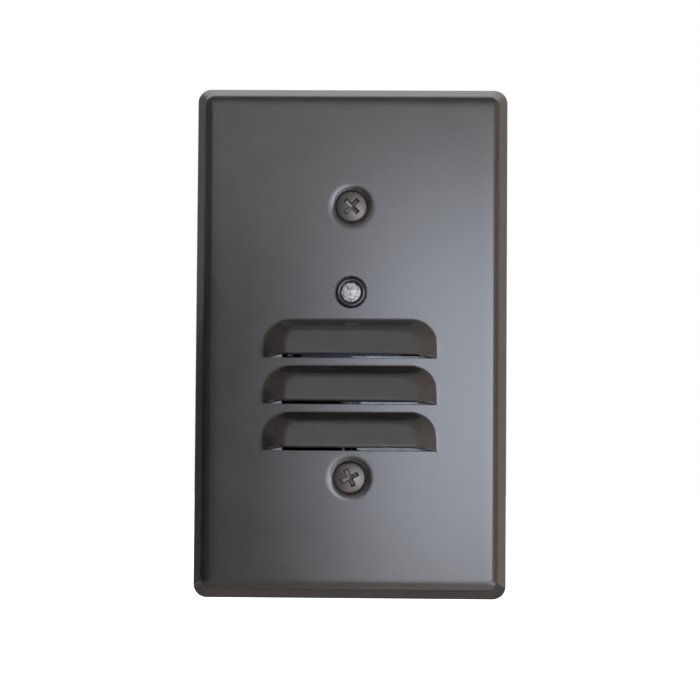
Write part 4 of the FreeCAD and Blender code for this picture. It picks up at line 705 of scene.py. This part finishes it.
def screw(skin, place, out, radius, crown, side, shank, cross, slot=None, turn=0.0, hexagon=False,
          pitch=PITCH, depth=THREAD_DEPTH):
    """A screw along out, its seat at place. crown gives the head's height at a radius, side the profile from
    its rim down to the thread, as radius, height and whether it is round, and shank the thread's radius and
    its two ends. On the thread each row is a helix that climbs one pitch a turn, clipped to the thread's
    ends, so that crest and root lie along the rows."""
    a, b, ring = head_grid(radius, cross, slot, hexagon)
    border = border_path()
    angle = np.unwrap(np.arctan2(b[border], a[border]))
    if hexagon:
        sixth = math.pi / 3
        grow = 1 / np.cos(np.mod(np.arctan2(b, a), sixth) - sixth / 2)
        grow = 1 + (grow - 1) * np.clip((ring - RINGS + 2) / 2, 0, 1)
        a, b = a * grow, b * grow
    head = np.stack([a, b, crown(np.hypot(a, b)) - recess(a, b, cross, slot)], -1)
    rows = [head[border]]
    for r, height, is_round in side:
        swell = 1 if is_round or not hexagon else np.hypot(rows[0][:, 0], rows[0][:, 1]) / radius
        rows.append(place_points(r * swell * np.cos(angle), r * swell * np.sin(angle), height))
    thread_radius, start, end = shank
    closing = np.append(angle, angle[0] + 2 * math.pi)
    turns = int(math.ceil((start - end) / pitch)) + 2
    places, shares = np.array([(-t - at, share) for t in range(-1, turns + 1) for at, share in THREAD_ROWS]).T
    height = np.clip(start + pitch * (places[:, None] + closing[None, :] / (2 * math.pi)), end, start)
    fade = smooth_step((start - height) / (THREAD_FADE * pitch))
    tip = thread_radius - depth - TIP_INSET
    radial = np.minimum(thread_radius - depth * shares[:, None] * fade, tip + (height - end) * TIP_SLOPE)
    thread = place_points(radial * np.cos(closing), radial * np.sin(closing), height)
    close = np.stack([place_points(r * np.cos(angle), r * np.sin(angle), end) for r in (tip, 0.5 * tip, 0.0)])
    out = np.array(out, float)
    side_way = np.array((0.0, 0, 1)) if abs(out[2]) < 0.5 else np.array((1.0, 0, 0))
    way_a = side_way * math.cos(turn) + np.cross(out, side_way) * math.sin(turn)
    axes = np.stack([way_a, np.cross(out, way_a), out])
    for grid, flip, closed in ((head, False, False), (np.array(rows), True, True), (thread, True, False),
                               (close, True, True)):
        skin.sheet(grid @ axes + np.array(place, float), flip=flip, closed=closed)


def oval(radius, rim, rise):
    """Spherical crown, near enough a parabola, whose outermost share is rounded off by a further drop."""
    share, drop = 0.93, 0.09
    return lambda r: (rim + rise * (1 - (r / radius) ** 2)
                      - drop * np.maximum(r / radius / share - 1, 0) ** 2 / (1 - share) ** 2)


def pan(radius, rim, rise):
    """Pan head: flat on top, falling faster towards the rim; the two powers set how flat and how fast."""
    flat, fall = 3.2, 0.9
    return lambda r: rim + rise * np.sqrt(np.maximum(1 - (np.minimum(r, radius) / radius) ** flat, 0)) ** fall


# each profile: radius, height and whether it is round, from the head's rim to the thread
PLATE_SCREW = [(3.42, 0.05, 1), (3.36, -0.05, 1), (1.78, -1.87, 1), (1.75, -1.95, 1)]
BOX_SCREW = [(3.7, 0.5, 1), (3.7, 0.12, 1), (3.58, 0, 1), (1.55, 0, 1), (1.45, -0.1, 1), (1.45, -1.9, 1),
             (1.45, -1.95, 1), (1.75, -2.35, 1)]
HOUSING_SCREW = [(2.3, 0.4, 1), (2.3, 0.1, 1), (2.2, 0, 1), (1.4, 0, 1), (1.3, -0.1, 1), (1.3, -17, 1)]
TERMINAL_SHANK = [(2.15, 0, 1), (2.08, -0.1, 1)]
TERMINAL_SCREW = [(4.0, 0.8, 1), (4.0, 0.15, 1), (3.85, 0, 1)] + TERMINAL_SHANK
GROUND_SCREW = [(3.95, 1.0, 0), (3.95, 0.12, 0), (3.9, 0, 0)] + TERMINAL_SHANK
TERMINAL_HEAD = 2.3          # height of a terminal screw's head
BOX_SCREW_Z, HOUSING_SCREW_X, HOUSING_SCREW_Z = 41.65, 18.3, 22.8
GROUND_SCREW_Y, GROUND_SCREW_Z = 6.6, -35.2


def screws():
    """All the screws; the last numbers of each call are its recess, as recess() takes them, and its turn."""
    for name, z, turn in (("upper", SCREW_Z, 45), ("lower", -SCREW_Z, 26)):
        skin = Skin()
        screw(skin, (0, -4.85, z), (0, -1, 0), 3.42, oval(3.42, 0.15, 0.95), PLATE_SCREW,
              (1.75, -1.95, -12.7), (0.5, 2.1, 1.9, 1.0), turn=math.radians(turn))
        skin.piece(name + "_plate_screw_with_recess", "bronze_screw", name + "_plate_screw",
                   "plate_screw_" + name, sharp=CREASE)
    for name, z, turn in (("upper", BOX_SCREW_Z, 12), ("lower", -BOX_SCREW_Z, 70)):
        skin = Skin()
        screw(skin, (0, -1.3, z), (0, -1, 0), 3.7, pan(3.7, 0.95, 1.15), BOX_SCREW, (1.75, -2.35, -22.0),
              (0.5, 2.1, 1.7, 0.9), (0.55, 3.3, 0.75), math.radians(turn))
        skin.piece(name + "_box_screw_with_recess", "zinc_screw", name + "_box_screw", "box_screw_" + name,
                   sharp=CREASE)
    skin = Skin()
    for k, (x_side, z_side) in enumerate(((-1, -1), (1, -1), (-1, 1), (1, 1))):
        screw(skin, (x_side * HOUSING_SCREW_X, 26, z_side * HOUSING_SCREW_Z), (0, 1, 0), 2.3,
              pan(2.3, 0.75, 1.05), HOUSING_SCREW, (1.3, -17, -25.4), (0.38, 1.45, 1.3, 0.7),
              turn=0.4 + 1.1 * k, pitch=1.06, depth=0.33)
    skin.piece("housing_screws_with_recess", "zinc_screw", "device", "housing_screws", sharp=CREASE)
    for name, side, finish, turn in (("line", 1, "brass", 0.3), ("neutral", -1, "nickel", 1.2)):
        low, high = (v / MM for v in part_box(name + "_terminal_screw"))
        seat = high.x - TERMINAL_HEAD if side > 0 else low.x + TERMINAL_HEAD
        skin = Skin()
        screw(skin, (seat, (low.y + high.y) / 2, 0), (side, 0, 0), 4.0, pan(4.0, 1.35, 0.95), TERMINAL_SCREW,
              (2.08, -0.1, -6.35), (0.6, 2.3, 1.5, 0.9), (0.62, 3.55, 0.95), turn)
        skin.piece(name + "_screw_with_recess", finish, name + "_screw", name + "_terminal_screw",
                   sharp=CREASE)
    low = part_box("ground_screw")[0] / MM
    skin = Skin()
    screw(skin, (low.x + TERMINAL_HEAD, GROUND_SCREW_Y, GROUND_SCREW_Z), (-1, 0, 0), 3.95,
          lambda r: TERMINAL_HEAD - 0.55 * np.maximum(r - 3.75, 0), GROUND_SCREW, (2.08, -0.1, -6.35),
          (0.6, 2.3, 1.5, 0.9), (0.62, 3.4, 0.9), math.pi / 2, hexagon=True)
    skin.piece("ground_hex_screw", "green_screw", "ground_terminal_screw", "ground_screw", sharp=CREASE)


# ---------------------------------------------------------------- sensor window

DOME_FRONT, DOME_RISE, DOME_BALL = -5.95, 0.62, 2.3     # y of the dome's middle, its height and its curve
RING_MIDDLE, RING_Y, RING_HALF, RING_RISE = 2.8, -5.06, 0.5, 0.38      # half an oval, the ring's section
GROOVE = [(2.18, -5.18), (2.24, -5.08)]
BUTTON_BACK = [(3.34, -4.98), (3.35, -4.9), (3.35, -4.44), (3.39, -4.4), (4.42, -4.4), (4.48, -4.38),
               (4.5, -4.32), (4.5, -3.68), (4.48, -3.62), (4.42, -3.6), (3.5, -3.6), (3.5, -3.04),
               (3.46, -3.0), (2.3, -3.0), (2.2, -3.05), (1.5, -3.25), (0.8, -3.36), (0, -3.4)]


def turned(skin, profile, z, steps=96):
    """A profile of radius and y, from the front and from pole to pole, turned about an axis along y at z."""
    angle = np.arange(steps) * 2 * math.pi / steps
    radius, y = (np.array(part)[:, None] for part in zip(*profile))
    skin.sheet(place_points(radius * np.cos(angle), y, z + radius * np.sin(angle)), flip=True, closed=True)


def sensor_window():
    """The button's crown is a dome in a groove inside a rounded ring; behind are its flange and spigot."""
    r, t = np.linspace(0, SENSOR_DOME, 12), np.linspace(0, math.pi, 13)
    fall = 1 - np.sqrt(1 - (r / DOME_BALL) ** 2)
    dome = list(zip(r, DOME_FRONT + DOME_RISE * fall / fall[-1]))
    ring = list(zip(RING_MIDDLE - RING_HALF * np.cos(t), RING_Y - RING_RISE * np.sin(t)))
    skin = Skin()
    turned(skin, dome + GROOVE + ring[1:] + BUTTON_BACK, SENSOR_Z)
    skin.piece("sensor_window_button", "sensor_button", "device", "photocell_lens", sharp=40)


# ---------------------------------------------------------------- camera, light and floor

CAMERA_TURN, CAMERA_RISE, CAMERA_ROLL = math.radians(1.17), math.radians(-2.79), math.radians(0.42)
CAMERA_DISTANCE = 486.75 * MM
CAMERA_AIM = Vector((-0.23, 0, -1.6)) * MM
LENS = 111.52


def camera():
    """A camera at the photo's viewing angle."""
    level = math.cos(CAMERA_RISE)
    back = Vector((math.sin(CAMERA_TURN) * level, -math.cos(CAMERA_TURN) * level, math.sin(CAMERA_RISE)))
    right = Vector((0, 0, 1)).cross(back).normalized()
    up = back.cross(right)
    c, s = math.cos(CAMERA_ROLL), math.sin(CAMERA_ROLL)
    right, up = c * right + s * up, c * up - s * right
    data = bpy.data.cameras.new("camera")
    data.lens, data.sensor_width = LENS, 36
    data.clip_start, data.clip_end = 0.01, 100
    cam = put("camera", data)
    turn = Matrix((right, up, back)).transposed().to_4x4()
    cam.matrix_world = Matrix.Translation(CAMERA_AIM + back * CAMERA_DISTANCE) @ turn
    bpy.context.scene.camera = cam


def softbox(name, place, aim, width, height, radiance, tint=(1, 1, 1)):
    """A rectangular soft lamp; radiance is the brightness of its face."""
    data = bpy.data.lights.new(name, "AREA")
    data.shape, data.size, data.size_y = "RECTANGLE", width, height
    data.energy = radiance * math.pi * width * height
    data.color = tint
    lamp = put(name, data)
    lamp.location = place
    lamp.rotation_euler = (Vector(aim) - Vector(place)).to_track_quat("-Z", "Y").to_euler()
    lamp.visible_camera = False


def quad(name, corners):
    """An object of one face between four corners."""
    data = bpy.data.meshes.new(name)
    data.from_pydata(corners, [], [(0, 1, 2, 3)])
    return put(name, data)


def card(name, corners, shade=(0.012, 0.012, 0.012), glow=0.0, shades=True, fade=None):
    """A studio card of felt between four corners, which shows in reflections but not to the camera. One that
    shades nothing leaves the floor beneath it as it is, glow lights it, and fade makes it paler by a factor,
    and lets the glow grow, from one x to another."""
    thing = quad(name, corners)
    thing.visible_camera = False
    thing.visible_diffuse = thing.visible_shadow = shades
    f = Finish(name + "_felt", Roughness=1.0, Specular_IOR_Level=0.0, Emission_Strength=glow)
    base = f.mix(f.grain(0.2), [0.9 * c for c in shade], [min(1.1 * c, 1) for c in shade])
    if fade:
        start, end, paler = fade
        along = f.axis("X").between(start, end)
        base = f.mix(along, base, [min(paler * c, 1) for c in shade])
        f.set(Emission_Color=f.mix(along, (0, 0, 0), (1, 1, 1)))
    thing.data.materials.append(f.set(Base_Color=base))


def upright_card(name, left, right, low, high, **how):
    """left and right are x and y of its two sides, low and high its heights."""
    card(name, [(*left, low), (*right, low), (*right, high), (*left, high)], **how)


def level_card(name, near, far, left, right, z, **how):
    """near and far are y of its two ends, left and right the x of its sides at near and at far."""
    card(name, [(left[0], near, z), (right[0], near, z), (right[1], far, z), (left[1], far, z)], **how)


def seen_directly(f):
    """1 for camera rays and for what is seen in or through shiny and clear surfaces."""
    camera_ray, glossy, transmission = (f.node("ShaderNodeLightPath", output="Is " + kind + " Ray")
                                        for kind in ("Camera", "Glossy", "Transmission"))
    return camera_ray.higher(glossy).higher(transmission)


class Surroundings(Finish):
    """The world's nodes, added the same way as a material's."""

    def __init__(self, name):
        self.owner = bpy.data.worlds.new(name)
        self.owner.use_nodes = True
        self.tree = self.owner.node_tree
        self.shader = self.tree.nodes["Background"]


def world(grey):
    """Pale grey light all round, seen as plain white by the camera and by shiny or clear surfaces."""
    f = Surroundings("studio")
    bpy.context.scene.world = f.set(Color=f.mix(seen_directly(f), (grey, grey, grey), (1, 1, 1)))


def floor(level, half=12.0, glow=0.75):
    """A pale floor, twice half across, that glows where it is seen directly, so that it shows as white."""
    thing = quad("floor", [(x * half, y * half, level) for x, y in ((-1, -1), (1, -1), (1, 1), (-1, 1))])
    f = Finish("pale_floor", Roughness=0.9, Specular_IOR_Level=0.2, Emission_Strength=1.0)
    thing.data.materials.append(f.set(
        Base_Color=f.mix(f.grain(0.3), (0.84, 0.84, 0.84), (0.87, 0.87, 0.87)),
        Emission_Color=f.mix(seen_directly(f), (0, 0, 0), (glow, glow, glow))))


FLOOR, FOOT, SPLIT, TOP = -0.25, -0.24, 0.09, 1.4      # heights of the floor and the cards' edges, in metres
KEY_TINT, DUSK = (0.77, 0.85, 1.0), (0.34, 0.32, 0.3)

bpy.context.scene.view_settings.view_transform = "Standard"
camera()
world(0.9)
floor(FLOOR)
softbox("key", (0.625, -1.5, 0.035), (0.625, 0, 0.035), 1.3, 0.24, 4.7, KEY_TINT)
softbox("wide_key", (0.625, -1.5, 0.03), (0.625, 0, 0.03), 1.3, 0.42, 2.8, KEY_TINT)
softbox("bounce", (0.38, -0.32, -0.235), (0.1, 0, 0.0), 0.7, 0.12, 2.6, (0.95, 0.97, 1.0))
upright_card("left_card", (-1.1, 1.3), (-0.8, -0.62), FOOT, SPLIT)
upright_card("left_top_card", (-1.1, 1.3), (-0.8, -0.62), SPLIT, TOP, shade=DUSK)
upright_card("front_card", (-0.8, -0.62), (-0.03, -1.55), FOOT, 0.165)
upright_card("left_high_card", (-0.81, -0.62), (-0.3, -1.25), 0.165, TOP, shade=DUSK, fade=(-0.8, -0.32, 2.9))
upright_card("upper_card", (-0.7, -1.52), (1.5, -1.52), 0.36, TOP, shade=(0.8, 0.8, 0.8), glow=0.25)
upright_card("right_card", (1.5, -1.52), (1.2, 1.3), FOOT, TOP, shade=(0.9, 0.74, 0.62))
level_card("ceiling_card", -1.52, 0.4, (-1.1, -1.0), (1.5, 1.2), TOP, shade=(0.5, 0.5, 0.5))
level_card("front_floor_card", -1.5, 0.02, (-0.9, -0.9), (1.4, 1.4), FOOT, shade=(0.66, 0.62, 0.58),
           glow=0.6, shades=False, fade=(-0.05, 0.05, 1.3))
level_card("back_floor_card", 0.02, 0.9, (-0.9, -0.9), (1.4, 1.4), FOOT, shade=(0.42, 0.38, 0.35),
           shades=False)

OWN_FINISH = {"light_lens": "smoke_lens"}    # pieces whose finish differs from their slot's

for node, slot in SLOTS.items():
    thing = frame["nodes"][node]
    thing.data.materials.clear()
    thing.data.materials.append(FINISHES[OWN_FINISH.get(node, slot)])

faceplate()
screws()
sensor_window()
